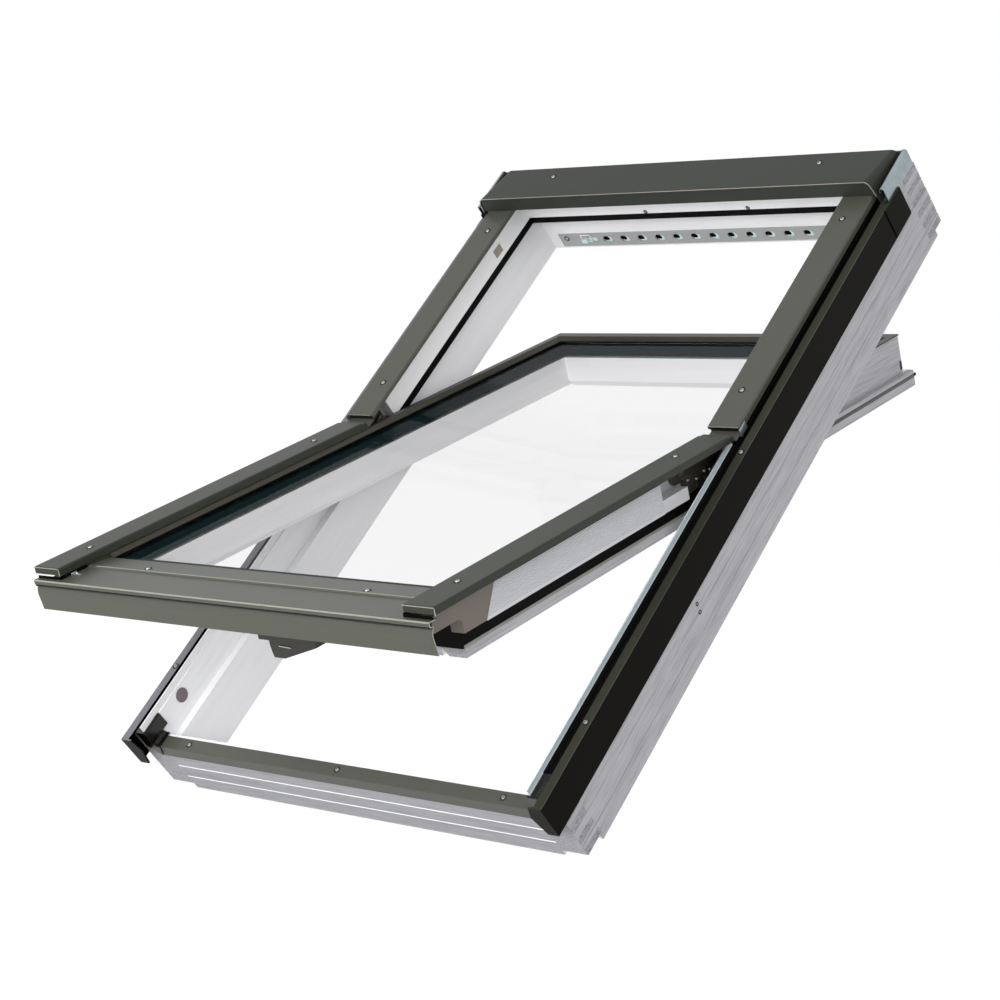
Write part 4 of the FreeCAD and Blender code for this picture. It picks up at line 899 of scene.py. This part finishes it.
class ScrewTree(Tree):
    """Pan head with a dark cross of painted shade for its recess, on a dark ring of painted shadow, repeated
    over points and turned by a seeded amount.

    The four shares say how large a measure is for a head radius of 1.
    """

    FLAT_SHARE = 0.72
    SHADE_RING_SHARE = 1.7
    CROSS_LENGTH = 1.05
    CROSS_WIDTH = 0.22
    SHADE_RING_HEIGHT = 0.0006
    CROSS_HEIGHT = 0.0003
    SIDES = 22

    def __init__(self, head: Surface, recess: Surface, carrier: Carrier) -> None:
        """Build the tree.

        Args:
            head: Finish of the head.
            recess: Finish of the cross and of the ring round the head, both painted shade.
            carrier: Carrier whose pieces wear the finishes.
        """
        super().__init__(f"screw_heads_{head.name}_{carrier.body}")
        radius = self.ask("Head Radius", "NodeSocketFloat", 0.0033)
        height = self.ask("Head Height", "NodeSocketFloat", 0.0016)
        turn = self.ask("Facing", "NodeSocketVector", (0.0, 0.0, 0.0))
        seed = self.ask("Seed", "NodeSocketInt", 3)
        size = self.term(radius)
        head_mesh = self.add("GeometryNodeMeshCone", {"fill_type": "NGON"},
                             {"Vertices": self.SIDES, "Radius Top": size * self.FLAT_SHARE,
                              "Radius Bottom": radius, "Depth": height})
        # Painted shadow: a thin dark ring under the head stands for the shade round it.
        shade_ring = self.add("GeometryNodeMeshCylinder", {"fill_type": "NGON"},
                          {"Vertices": self.SIDES, "Radius": size * self.SHADE_RING_SHARE,
                           "Depth": self.SHADE_RING_HEIGHT})
        # Painted shade: a dark cross on top of the head stands for its recess.
        arm = self.add("ShaderNodeCombineXYZ", inputs={0: size * self.CROSS_LENGTH,
                                                       1: size * self.CROSS_WIDTH, 2: self.CROSS_HEIGHT})
        lift = self.add("ShaderNodeCombineXYZ", inputs={2: height}).outputs[0]
        cut = self.add("GeometryNodeMeshCube", inputs={"Size": arm.outputs[0]}).outputs[0]
        cross = self.together(self.moved(cut, lift), self.moved(cut, lift, (0.0, 0.0, math.pi / 2)))
        screw = self.together(self.painted(head_mesh.outputs["Mesh"], PALETTE.get(head, carrier)),
                              self.painted(self.together(cross, shade_ring.outputs["Mesh"]),
                                           PALETTE.get(recess, carrier)))
        spin = self.add("FunctionNodeRandomValue", {"data_type": "FLOAT"},
                        {"Min": 0.0, "Max": math.pi / 2, "Seed": seed}).outputs[1]
        about = self.add("ShaderNodeCombineXYZ", inputs={2: spin}).outputs[0]
        both = self.add("FunctionNodeRotateEuler", {"rotation_type": "EULER", "space": "LOCAL"},
                        {"Rotation": turn, "Rotate By": about}).outputs[0]
        copies = self.add("GeometryNodeInstanceOnPoints", inputs={"Points": self.entry.outputs["Geometry"],
                                                                  "Instance": screw, "Rotation": both})
        self.close(copies.outputs[0])


def facing_turn(facing: Facing) -> Point:
    """Return the turn of a fitting that faces a given way, in radians."""
    return (math.radians(facing.value[0]), math.radians(facing.value[1]), 0.0)


@dataclass(frozen=True)
class ScrewRow:
    """Screws of one size that face one way.

    Attributes:
        radius: Radius of a head in millimetres.
        height: Height of a head in millimetres.
        seed: Seed for the turn of the heads.
        slot: Material slot of the record.
    """

    name: str
    carrier: Carrier
    points: tuple[Point, ...]
    facing: Facing = Facing.OUT
    radius: float = 3.4
    height: float = 1.6
    seed: int = 3
    head: Coating = Palette.SCREW
    slot: str = Slot.METAL

    def build(self) -> bpy.types.Object:
        """Make the row of screws."""
        tree = ScrewTree(self.head, Palette.RECESS_SHADE, self.carrier)
        return tree.run(self.name, self.points, self.carrier, self.slot,
                        {"Head Radius": self.radius * MM, "Head Height": self.height * MM,
                         "Facing": facing_turn(self.facing), "Seed": self.seed})


def both_sides(points: Sequence[Point]) -> tuple[Point, ...]:
    """Return points and their mirror images across the middle of the window."""
    return tuple(points) + tuple((-u, v, w) for u, v, w in points)


class Assembly:
    """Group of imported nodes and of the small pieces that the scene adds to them.

    Attributes:
        WEARS: Each node with its finish and its carrier. {side} in a name stands for left and right.
    """

    WEARS: ClassVar[tuple[tuple[str, Surface, Carrier], ...]] = ()

    def dress(self) -> None:
        """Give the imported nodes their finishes."""
        for node, finish, carrier in self.WEARS:
            for side in ("left", "right") if "{side}" in node else ("",):
                dress(node.format(side=side), finish, carrier)

    def build(self) -> None:
        """Add the small pieces."""
        raise NotImplementedError


@dataclass
class FrameTimber(Assembly):
    """Frame timbers with the marks of their joints.

    Attributes:
        half: Half width over the side members.
        stop_face: Distance of the side stops' inner faces from the middle.
        hole_places: Slope and level of the small screws in each side member.
        stop_screws: Places of the screws in the top stop.
    """

    WEARS = (("frame_{side}_member", Palette.SIDE_TIMBER, FRAME), ("frame_{side}_stop", Palette.WHITE, FRAME),
             ("frame_bottom_member", Palette.CROSS_TIMBER, FRAME),
             ("frame_top_member", Palette.CROSS_TIMBER, FRAME), ("frame_top_stop", Palette.WHITE, FRAME),
             ("frame_stop_gasket", Palette.GASKET, FRAME), ("frame_bolt_plugs", Palette.PLUG, FRAME))
    half: float = 390.0
    stop_face: float = 336.5
    plate_proud: float = 0.5
    plate_slope: Flat = (1019.0, 1040.0)
    plate_out: Flat = (100.0, 114.5)
    hole_places: tuple[Flat, ...] = ((372.0, 64.0), (369.0, 51.0))
    hole_radius: float = 1.9
    stop_screws: tuple[Point, ...] = ((-93.4, 1128.0, 94.5), (105.0, 1128.0, 94.5))
    stop_screw_radius: float = 2.2
    flat_height: float = 0.4

    def flat_screws(self, name: str, points: tuple[Point, ...], facing: Facing, radius: float) -> None:
        """Add screws whose heads lie nearly flush with the timber.

        Args:
            name: Piece name.
            points: Places of the heads.
            facing: Way that the heads face.
            radius: Radius of a head in millimetres.
        """
        ScrewRow(name, FRAME, points, facing, radius, self.flat_height, slot=Slot.TIMBER).build()

    def build(self) -> None:
        """Add the screws and the bare plates that show on the timbers."""
        for name, edge, facing in (("member_side_screws", self.half, Facing.RIGHT),
                                   ("member_left_screws", -self.half, Facing.LEFT)):
            points = tuple((edge, slope, out) for slope, out in self.hole_places)
            self.flat_screws(name, points, facing, self.hole_radius)
        self.flat_screws("top_stop_screws", self.stop_screws, Facing.DOWN_SLOPE, self.stop_screw_radius)
        across = (self.stop_face - self.plate_proud, self.stop_face)
        plates = Shape().pair(across, self.plate_slope, self.plate_out)
        plates.finish("side_stop_plates", FRAME, Palette.BARE_PLATE, Slot.TIMBER, 0.15)


@dataclass
class FrameMetalwork(Assembly):
    """Outer profiles, bottom cover, upstands, gaskets and corner pieces of the frame.

    Attributes:
        profile_top: Level of the side profiles' tops.
        profile_screws: Places of the screws on the right profile.
        cover_foot: Slope limits of the caps that close the feet of the upper covers.
        cover_screws: Places of the screws on the right upper cover.
    """

    WEARS = (("frame_{side}_profile", Palette.PROFILE, FRAME),
             ("frame_{side}_upper_cover", Palette.COATED, FRAME),
             ("frame_{side}_corner_piece", Palette.BLACK_PLASTIC, FRAME),
             ("frame_{side}_upstand", Palette.RIBBED, FRAME), ("frame_bottom_cover", Palette.COATED, FRAME),
             ("frame_side_gaskets", Palette.GASKET, FRAME))
    profile_top: float = 130.0
    profile_screws: tuple[Point, ...] = ((384.0, 118.0, 130.0), (384.0, 586.0, 130.0))
    profile_edge: Flat = (391.7, 392.15)
    profile_run: Flat = (-18.0, 1066.0)
    bottom_screws: tuple[Point, ...] = ((-295.0, 9.5, 97.5), (0.0, 9.5, 97.5), (295.0, 9.5, 97.5))
    cover_screws: tuple[Point, ...] = ((341.0, 688.0, 145.0), (341.0, 1037.0, 145.0))
    cover_foot: Flat = (619.6, 624.0)
    foot_top: float = 138.3
    clip_outer: float = 373.2
    clip_slope: float = 614.0

    def build(self) -> None:
        """Add the screws, the lit edge of the profiles and the small parts of the upper covers."""
        ScrewRow("bottom_cover_screws", FRAME, self.bottom_screws, radius=3.0).build()
        ScrewRow("upper_cover_screws", FRAME, both_sides(self.cover_screws), seed=7).build()
        ScrewRow("profile_screws", FRAME, both_sides(self.profile_screws), radius=3.0, height=2.0,
                 seed=4).build()
        level = (self.profile_top - 0.4, self.profile_top + 0.12)
        edges = Shape().pair(self.profile_edge, self.profile_run, level)
        edges.finish("profile_edge_lines", FRAME, Palette.PROFILE_EDGE, Slot.METAL)
        self.cover_feet()

    def cover_feet(self) -> None:
        """Close the feet of the upper covers, and add their tongues, painted highlight lines on their edges,
        and clips.
        """
        caps = Shape().pair((337.0, 370.0), self.cover_foot, (127.0, self.foot_top))
        caps.pair((319.0, 337.5), self.cover_foot, (134.6, self.foot_top))
        caps.finish("upper_cover_end_caps", FRAME, Palette.BLACK_PLASTIC, Slot.PLASTIC)
        tongues = Shape().pair((320.0, 370.5), (602.4, 620.0), (133.7, 134.9))
        tongues.finish("upper_cover_tongues", FRAME, Palette.COATED, Slot.METAL, 0.3)
        # Painted highlight: thin light strips along the upper covers' bottom edges.
        lines = Shape().pair((320.5, 370.6), (617.3, 617.9), (143.7, 144.8))
        lines.finish("upper_cover_edge_highlights", FRAME, Palette.FOLD_HIGHLIGHT, Slot.METAL)
        outer, start = self.clip_outer, self.clip_slope
        clips = Shape().pair((outer - 1.0, outer), (start, start + 18.0), (132.0, 143.0))
        clips.pair((outer - 9.2, outer), (start, start + 4.2), (130.6, 134.0))
        clips.finish("upper_cover_clips", FRAME, Palette.ZINC, Slot.STEEL, 0.3)


@dataclass
class Hood(Assembly):
    """Hood over the head of the frame with its galvanised brackets.

    Attributes:
        fall: Drop of the hood's top for each millimetre up the slope.
        corner_half: Half width at the outside of the fold.
        foot_half: Half width at the feet of the hood's sides.
        fold: Radius of the fold between the top and the sides.
        lip: Thickness of the cut edge.
    """

    WEARS = (("frame_top_hood", Palette.HOOD_SHADED_COATING, FRAME), ("hood_{side}_bracket", Palette.BRACKET, FRAME))
    screw_slope: float = 1146.0
    front_top: float = 172.6
    front_slope: float = 1084.0
    fall: float = 0.18444
    screw_half: float = 257.0
    corner_half: float = 374.2
    foot_half: float = 378.4
    foot_out: float = 145.4
    fold: float = 8.7
    fold_steps: int = 8
    flare: float = 1.3
    lip: float = 0.9
    wall: float = 1.0

    def front_outline(self) -> list[Flat]:
        """Return the hood's front from its right foot over the top to its left foot."""
        top, fold = self.front_top, self.fold
        line = [(self.foot_half, self.foot_out), (self.corner_half + self.flare, top - fold)]
        for step in range(self.fold_steps + 1):
            turn = math.pi / 2 * step / self.fold_steps
            across = self.corner_half - fold + (fold + self.lip) * math.cos(turn)
            line.append((across, top - fold + fold * math.sin(turn)))
        return line + [(-across, out) for across, out in line[::-1]]

    def build(self) -> None:
        """Add the screws on the hood and the bare cut edge of its front."""
        level = self.front_top - (self.screw_slope - self.front_slope) * self.fall
        place = (self.screw_half, self.screw_slope, level)
        ScrewRow("hood_screws", FRAME, both_sides([place]), seed=11).build()
        line = self.front_outline()
        inner = [(across - math.copysign(self.wall, across), out - self.lip) for across, out in line]
        edge = Shape()
        for (a, b), (c, d) in zip(zip(line[:-1], line[1:]), zip(inner[:-1], inner[1:])):
            edge.prism([a, b, d, c], Axis.SLOPE, self.front_slope - 0.25, self.front_slope + 0.1)
        edge.finish("hood_cut_edge", FRAME, Palette.RAW_EDGE, Slot.METAL)


@dataclass
class VentGrille(Assembly):
    """Slotted grille on the top member with its sliding shutter.

    Attributes:
        face: Slope place of the grille's face.
        rim_across: Limits of the rim round the shutter's knob, across the window.
        rim_out: Limits of the rim out of the roof.
    """

    WEARS = (("vent_grille", Palette.GRILLE, FRAME), ("vent_slider", Palette.SHUTTER, SHUTTER))
    face: float = 1151.5
    shade_half: float = 320.0
    shade_slope: Flat = (1158.1, 1158.7)
    shade_out: Flat = (8.6, 26.4)
    rim_across: Flat = (-279.0, -258.0)
    rim_out: Flat = (13.0, 28.5)
    rim_width: float = 1.6
    screw_half: float = 310.0
    screw_out: float = 21.5

    def build(self) -> None:
        """Add the screws at the grille's ends, the knob's rim and a dark sheet of painted shade at the back
        of the channel.
        """
        # Painted shade: a dark sheet at the back of the channel makes the slots look shaded.
        dark_face = Shape().block((-self.shade_half, self.shade_half), self.shade_slope, self.shade_out)
        dark_face.finish("vent_channel_painted_shade", FRAME, Palette.SLOT_SHADE, Slot.GRILLE)
        (low, high), (foot, head), rim = self.rim_across, self.rim_out, self.rim_width
        window = Shape()
        for across, out in (((low, high), (foot, foot + rim)), ((low, high), (head - rim, head)),
                            ((low, low + rim), (foot, head)), ((high - rim, high), (foot, head))):
            window.block(across, (self.face - 0.9, self.face - 0.1), out)
        window.finish("vent_knob_rim", SHUTTER, Palette.WHITE, Slot.GRILLE)
        ScrewRow("vent_grille_screws", FRAME, both_sides([(self.screw_half, self.face, self.screw_out)]),
                 Facing.DOWN_SLOPE, 3.0, 1.4, slot=Slot.GRILLE).build()


@dataclass
class Sash(Assembly):
    """Turning sash: timbers, ribbed strips, covers and seals.

    Attributes:
        cover_screws: Places of the screws on the right side cover.
        cover_inner: Distance of the side covers' inner edges from the middle.
        cover_outer: Distance of the side covers' outer edges from the middle.
        sill_screw: Place of the sill's right screw.
        sill_half: Half length of the sill.
        sill_top: Level of the sill's top.
        ridge: Outline of the painted highlight along the sill's ridge line, as slope and level.
        nose_slope: Slope place of the sill's nose.
        nose_low: Level of the fold under the nose.
        nose_bend: Radius of the nose's bends.
        apron_path: Outline of the apron under the nose, as slope and level.
        lip: Distance of the side groove's seals from the middle.
    """

    WEARS = (("sash_{side}_member", Palette.SASH_SIDE_TIMBER, SASH),
             ("sash_{side}_cover", Palette.SASH_SHADED_COATING, SASH),
             ("sash_{side}_rib_strip", Palette.RIB_WHITE, SASH),
             ("sash_top_member", Palette.SASH_CROSS_TIMBER, SASH),
             ("sash_bottom_member", Palette.SASH_CROSS_TIMBER, SASH),
             ("sash_bottom_cover", Palette.SILL_LIT_COATING, SASH), ("sash_end_pieces", Palette.TAUPE, SASH),
             ("sash_side_gaskets", Palette.GASKET, SASH))
    cover_screws: tuple[Point, ...] = ((341.0, 47.0, 145.0), (341.0, 505.0, 145.0))
    cover_inner: float = 318.0
    cover_outer: float = 370.4
    sill_screw: Point = (204.0, 28.0, 130.0)
    sill_half: float = 366.0
    sill_top: float = 128.6
    ridge_half: float = 300.0
    ridge: tuple[Flat, ...] = ((18.9, 130.5), (19.4, 130.9), (20.2, 131.05), (21.0, 130.75), (21.0, 130.5))
    nose_slope: float = -40.0
    nose_low: float = 121.0
    nose_bend: float = 1.8
    line_half: float = 0.2
    apron_path: tuple[Flat, ...] = ((-35.0, 83.8), (-38.3, 106.8), (-38.35, 111.4), (-36.9, 116.0))
    sheet: float = 0.9
    end_skin: float = 0.25
    lip: float = 339.8
    clip_base: float = 128.5
    clip_outer: float = 315.5

    def build(self) -> None:
        """Add the screws, clips and seals, the painted highlight lines and glints of the covers and sill, and
        strips of painted shade and painted shadow.
        """
        ScrewRow("sash_cover_screws", SASH, both_sides(self.cover_screws), seed=5).build()
        ScrewRow("sill_cover_screws", SASH, both_sides([self.sill_screw]), seed=9).build()
        self.sill_lines()
        self.sill_ends()
        self.foot_shadows()
        self.edge_lines()
        self.head_marks()
        self.spring_clips()

    def sill_lines(self) -> None:
        """Draw painted highlight lines on the sill's folds at its ridge and nose, and a dark strip of painted
        shadow under the nose.
        """
        # Painted highlight: light strips along the sill's ridge and round its nose.
        folds = Shape().prism(self.ridge, Axis.ACROSS, -self.ridge_half, self.ridge_half)
        nose, bend = self.nose_slope, self.nose_bend
        centre = (nose + bend, self.sill_top - bend)
        turns = [math.radians(105 + 12 * step) for step in range(7)]
        outline = []
        for radius, way in ((bend + self.line_half, turns), (bend - self.line_half, turns[::-1])):
            outline += [(centre[0] + radius * math.cos(turn), centre[1] + radius * math.sin(turn))
                        for turn in way]
        folds.prism(outline, Axis.ACROSS, -self.sill_half, self.sill_half)
        folds.finish("sill_fold_highlights", SASH, Palette.FOLD_HIGHLIGHT, Slot.METAL)
        # Painted shadow: a dark strip under the nose.
        reach = self.sill_half - 0.5
        level = (self.nose_low - 1.5, self.nose_low - 0.1)
        nose_shadow = Shape().block((-reach, reach), (nose + 0.7, nose + 4.9), level)
        nose_shadow.finish("sill_painted_nose_shadow", SASH, Palette.RECESS_SHADE, Slot.METAL)

    def sill_ends(self) -> None:
        """Draw the bare cut ends of the sill's sheet, from the apron round the nose to its top."""
        low, top, nose, bend = self.nose_low, self.sill_top, self.nose_slope, self.nose_bend
        path = [*self.apron_path, (nose + 5.5, low), (nose + bend, low), (nose + 0.5, low + 0.5),
                (nose, low + bend), (nose, top - bend), (nose + 0.5, top - 0.5), (nose + bend, top),
                (nose + 12, top)]
        cut = Shape()
        for (a, b), (c, d) in zip(path[:-1], path[1:]):
            inwards = Vector((d - b, a - c)).normalized() * self.sheet
            edge = [(a, b), (c, d), (c + inwards.x, d + inwards.y), (a + inwards.x, b + inwards.y)]
            for start in (-self.sill_half - 0.1, self.sill_half - 0.15):
                cut.prism(edge, Axis.ACROSS, start, start + self.end_skin)
        cut.finish("sill_cut_ends", SASH, Palette.RAW_EDGE, Slot.METAL)

    def foot_shadows(self) -> None:
        """Lay black strips of painted shadow between the sill and the feet of the side covers."""
        low, high = self.sill_top + 0.05, 133.2
        # Painted shadow: black strips under the inner edges and fronts of the side covers' feet.
        seals = Shape().pair((self.cover_inner - 0.6, self.cover_inner + 1.0), (-31.0, 17.5), (low, high))
        seals.pair((self.cover_inner, self.sill_half - 1.0), (-31.5, -30.0), (low, high - 1.2))
        seals.finish("sill_foot_painted_shadows", SASH, Palette.GASKET, Slot.RUBBER)

    def edge_lines(self) -> None:
        """Draw painted highlight lines on the edges of the side covers' feet with painted glints at their
        corners, and the grey bead along the sash's lip.
        """
        # Painted highlight: thin light strips on the front edges of the side covers' feet.
        lines = Shape().pair((self.cover_inner + 1.0, self.cover_outer), (-32.25, -31.8), (143.5, 144.7))
        # Painted glints: thin light pegs standing up at the feet's corners.
        for corner in (-self.cover_inner - 0.6, self.cover_outer):
            lines.peg(0.9, (corner, -31.2, 134.0), Axis.OUT, 9.6, 0.7, 12)
        lines.finish("side_cover_edge_highlights", SASH, Palette.FOLD_HIGHLIGHT, Slot.METAL)
        beads = Shape().pair((self.lip, self.lip + 1.2), (36.0, 559.0), (62.0, 65.6))
        beads.finish("lip_gasket_beads", SASH, Palette.BEAD, Slot.RUBBER, 0.4)

    def head_marks(self) -> None:
        """Add the side seals behind the pivot, their ends at the head, and thin dark plates of painted shade
        where the catch slots are.
        """
        seals = Shape().pair((self.lip, self.lip + 1.3), (650.0, 1117.0), (61.0, 66.8))
        seals.finish("rear_side_seals", SASH, Palette.SEAL, Slot.RUBBER, 0.3)
        ends = Shape().pair((331.4, 341.0), (1103.0, 1123.5), (62.4, 66.6))
        ends.finish("head_seal_ends", SASH, Palette.GASKET, Slot.RUBBER, 0.5)
        # Painted shade: thin dark plates where the catch slots are.
        slots = Shape().pair((330.6, 331.25), (1097.6, 1103.2), (78.5, 92.0))
        slots.finish("head_catch_slot_shades", SASH, Palette.RECESS_SHADE, Slot.PLASTIC)

    def spring_clips(self) -> None:
        """Add the rivets and spring clips on the sill beside the side covers."""
        base, outer = self.clip_base, self.clip_outer
        clips = Shape()
        for across in (-309.0, 309.0):
            clips.peg(2.3, (across, -9.0, base), Axis.OUT, 3.6, 1.6, 16)
        clips.pair((outer - 13.5, outer), (-11.5, -7.0), (base, base + 1.4))
        clips.pair((outer - 2.0, outer), (-15.0, -5.0), (base, base + 3.9))
        clips.finish("sill_spring_clips", SASH, Palette.RIVET, Slot.STEEL, 0.4)


@dataclass
class Glazing(Assembly):
    """Double pane with its edge seal and the ridged profile that holds it.

    Attributes:
        profile_edge: Distance of the profile's inner edge from the middle.
        glass_top: Level of the outer pane's face.
        foot: Slope place of the profile's foot.
        head: Slope place of the profile's inner edge at the head.
    """

    WEARS = (("outer_pane", Palette.GLASS, SASH), ("inner_pane", Palette.GLASS, SASH),
             ("pane_spacer", Palette.SPACER, SASH), ("sash_glazing_profile", Palette.SEAM_COATED, SASH))
    profile_edge: float = 311.0
    glass_top: float = 125.0
    foot: float = 61.4
    head: float = 1080.0
    wedge_width: float = 3.5
    wedge_height: float = 2.2

    def build(self) -> None:
        """Add the black wedge gasket that runs round the outer pane."""
        edge, head, out = self.profile_edge, self.head, (self.glass_top, self.glass_top + self.wedge_height)
        inner = edge - self.wedge_width
        gasket = Shape().pair((inner, edge), (self.foot, head), out)
        gasket.block((-inner, inner), (head - self.wedge_width, head), out)
        gasket.finish("pane_wedge_gasket", SASH, Palette.GASKET, Slot.RUBBER, 0.4)


@dataclass
class Hinges(Assembly):
    """Curved track hinges on both sides.

    Attributes:
        link_face: Distance of the links' outer faces from the middle.
        rivet_places: Slope and level of the rivets in a link.
    """

    WEARS = (("frame_{side}_hinge", Palette.BLACK_STEEL, FRAME),
             ("sash_{side}_hinge", Palette.BLACK_STEEL, SASH))
    link_face: float = 338.0
    cap_height: float = 2.3
    cap_foot: float = 2.7
    cap_top: float = 1.6
    rivet_places: tuple[Flat, ...] = ((526.5, 103.8), (545.0, 99.5), (565.0, 103.8), (578.0, 101.4))

    def build(self) -> None:
        """Cap the rivets of the links."""
        height, foot, top = self.cap_height, self.cap_foot, self.cap_top
        caps = Shape()
        for slope, out in self.rivet_places:
            caps.peg(foot, (self.link_face, slope, out), Axis.ACROSS, height, top, 16)
            caps.peg(top, (-self.link_face - height, slope, out), Axis.ACROSS, height, foot, 16)
        caps.finish("hinge_rivet_caps", SASH, Palette.RIVET, Slot.STEEL)


@dataclass
class Handle(Assembly):
    """Handle on the bottom rail of the sash.

    Attributes:
        line_ends: Ends of the bright line, as across and level.
        line_slope: Limits of the bright line up the slope.
    """

    WEARS = (("handle_base", Palette.HANDLE, SASH), ("handle_lever", Palette.HANDLE, HANDLE))
    line_ends: tuple[Flat, Flat] = ((-1.0, 28.4), (20.0, 27.4))
    line_half: float = 0.8
    line_slope: Flat = (46.5, 47.1)

    def build(self) -> None:
        """Add the bright line on the lever's finger hold."""
        line = Shape().bar(*self.line_ends, self.line_half, Axis.SLOPE, *self.line_slope)
        line.finish("handle_bright_line", HANDLE, Palette.RIVET, Slot.STEEL)


@dataclass(frozen=True)
class Lamp:
    """Round soft lamp: its place and size in metres and its power in watts."""

    name: str
    place: Point
    size: float
    power: float


@dataclass
class Studio:
    """Pale floor, soft lamps and the camera at the photo's angle.

    Attributes:
        floor_level: Height of the floor in metres.
        floor_reach: Half length of the floor in metres.
        focal_pixels: Focal length in pixels of the picture.
        picture: Width of the picture in pixels.
        eye: Place of the camera in the frame's drawing coordinates.
        right: Direction to the right of the picture, in the same coordinates.
        down: Direction down the picture, in the same coordinates.
        horizon_light: Strength of the world's light from the horizon.
        zenith_loss: Part of that strength that is missing from straight above.
        lamp_aim: Point in metres that the lamps look at.
    """

    floor_level: float = -0.009
    floor_reach: float = 30.0
    floor_grey: float = 0.86
    floor_glow: float = 1.12
    glow_share: float = 0.82
    focal_pixels: float = 2403.23
    picture: float = 1000.0
    eye: Point = (2253.13, -1211.35, 2120.31)
    right: Point = (0.75855, 0.46655, -0.4549)
    down: Point = (0.04704, -0.7355, -0.67589)
    horizon_light: float = 0.98
    zenith_loss: float = 0.56
    lamp_aim: Point = (0.0, 0.35, 0.45)
    lamp_list: tuple[Lamp, ...] = (Lamp("key_lamp", (0.5, -3.7, 0.9), 2.4, 114.0),
                                   Lamp("side_lamp", (3.2, -0.6, 1.6), 2.2, 11.0),
                                   Lamp("left_lamp", (-2.8, -1.8, 2.2), 2.6, 20.0))

    def build(self) -> None:
        """Make the floor, world, lamps and camera."""
        self.floor()
        self.world()
        self.lamps()
        self.camera()

    @staticmethod
    def seen(graph: Graph) -> Term:
        """Return 1 for what is seen straight, through glass or in a reflection, and 0 for light."""
        path = graph.add("ShaderNodeLightPath")
        straight = graph.term(path.outputs["Is Camera Ray"]) + graph.term(path.outputs["Is Transmission Ray"])
        return (straight + graph.term(path.outputs["Is Glossy Ray"])).ramp(0.0, 1.0)

    def floor(self) -> None:
        """Make a floor that the camera sees white, with the object's shadow on it."""
        material = bpy.data.materials.new("pale_studio_floor")
        material.use_nodes = True
        graph = Graph(material.node_tree)
        seen = self.seen(graph)
        plain = graph.add("ShaderNodeBsdfDiffuse", inputs={"Color": (self.floor_grey,) * 3})
        bright = graph.add("ShaderNodeEmission", inputs={"Color": WHITE_LIGHT, "Strength": self.floor_glow})
        mixed = graph.add("ShaderNodeMixShader", inputs={0: seen * self.glow_share, 1: plain.outputs[0],
                                                         2: bright.outputs[0]})
        output = graph.add("ShaderNodeOutputMaterial")
        graph.tree.links.new(mixed.outputs[0], output.inputs[0])
        mesh = bpy.data.meshes.new("studio_floor")
        reach, level = self.floor_reach, self.floor_level
        corners = [(-reach, -reach, level), (reach, -reach, level), (reach, reach, level),
                   (-reach, reach, level)]
        mesh.from_pydata(corners, [], [(0, 1, 2, 3)])
        mesh.materials.append(material)
        floor = bpy.data.objects.new("studio_floor", mesh)
        bpy.context.scene.collection.objects.link(floor)

    def world(self) -> None:
        """Make a world that is white to the camera and softer as a light."""
        world = bpy.data.worlds.new("studio_world")
        bpy.context.scene.world = world
        world.use_nodes = True
        graph = Graph(world.node_tree)
        seen = self.seen(graph)
        way = graph.add("ShaderNodeTexCoord").outputs["Generated"]
        height = graph.term(graph.add("ShaderNodeSeparateXYZ", inputs={0: way}).outputs[2])
        soft = self.horizon_light - height.ramp(0.0, 1.0) * self.zenith_loss
        strength = seen + soft * (1 - seen)
        background = graph.add("ShaderNodeBackground", inputs={"Color": WHITE_LIGHT, "Strength": strength})
        output = graph.add("ShaderNodeOutputWorld")
        graph.tree.links.new(background.outputs[0], output.inputs[0])

    def lamps(self) -> None:
        """Hang the soft lamps round the object."""
        for lamp in self.lamp_list:
            data = bpy.data.lights.new(lamp.name, "AREA")
            data.shape = "DISK"
            data.size = lamp.size
            data.energy = lamp.power
            obj = bpy.data.objects.new(lamp.name, data)
            obj.location = lamp.place
            look = Vector(self.lamp_aim) - Vector(lamp.place)
            obj.rotation_euler = look.to_track_quat("-Z", "Y").to_euler()
            bpy.context.scene.collection.objects.link(obj)

    def camera(self) -> None:
        """Set the camera where the photo's edges put it."""
        data = bpy.data.cameras.new("photo_camera")
        data.sensor_width = 36.0
        data.lens = data.sensor_width * self.focal_pixels / self.picture
        data.clip_end = 100.0
        camera = bpy.data.objects.new("photo_camera", data)
        turn = FRAME.matrix().to_3x3() * (1 / MM)
        right = (turn @ Vector(self.right)).normalized()
        up = -(turn @ Vector(self.down)).normalized()
        back = right.cross(up).normalized()
        basis = Matrix((right, up, back)).transposed()
        camera.matrix_world = Matrix.Translation(FRAME.matrix() @ Vector(self.eye)) @ basis.to_4x4()
        bpy.context.scene.collection.objects.link(camera)
        bpy.context.scene.camera = camera


def main() -> None:
    """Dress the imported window, add its small pieces and set the studio up."""
    logging.basicConfig(level=logging.INFO)
    bpy.context.scene.view_settings.view_transform = "Standard"
    for kind in (FrameTimber, FrameMetalwork, Hood, VentGrille, Sash, Glazing, Hinges, Handle):
        assembly = kind()
        assembly.dress()
        assembly.build()
    Studio().build()


if __name__ == "__main__":
    main()
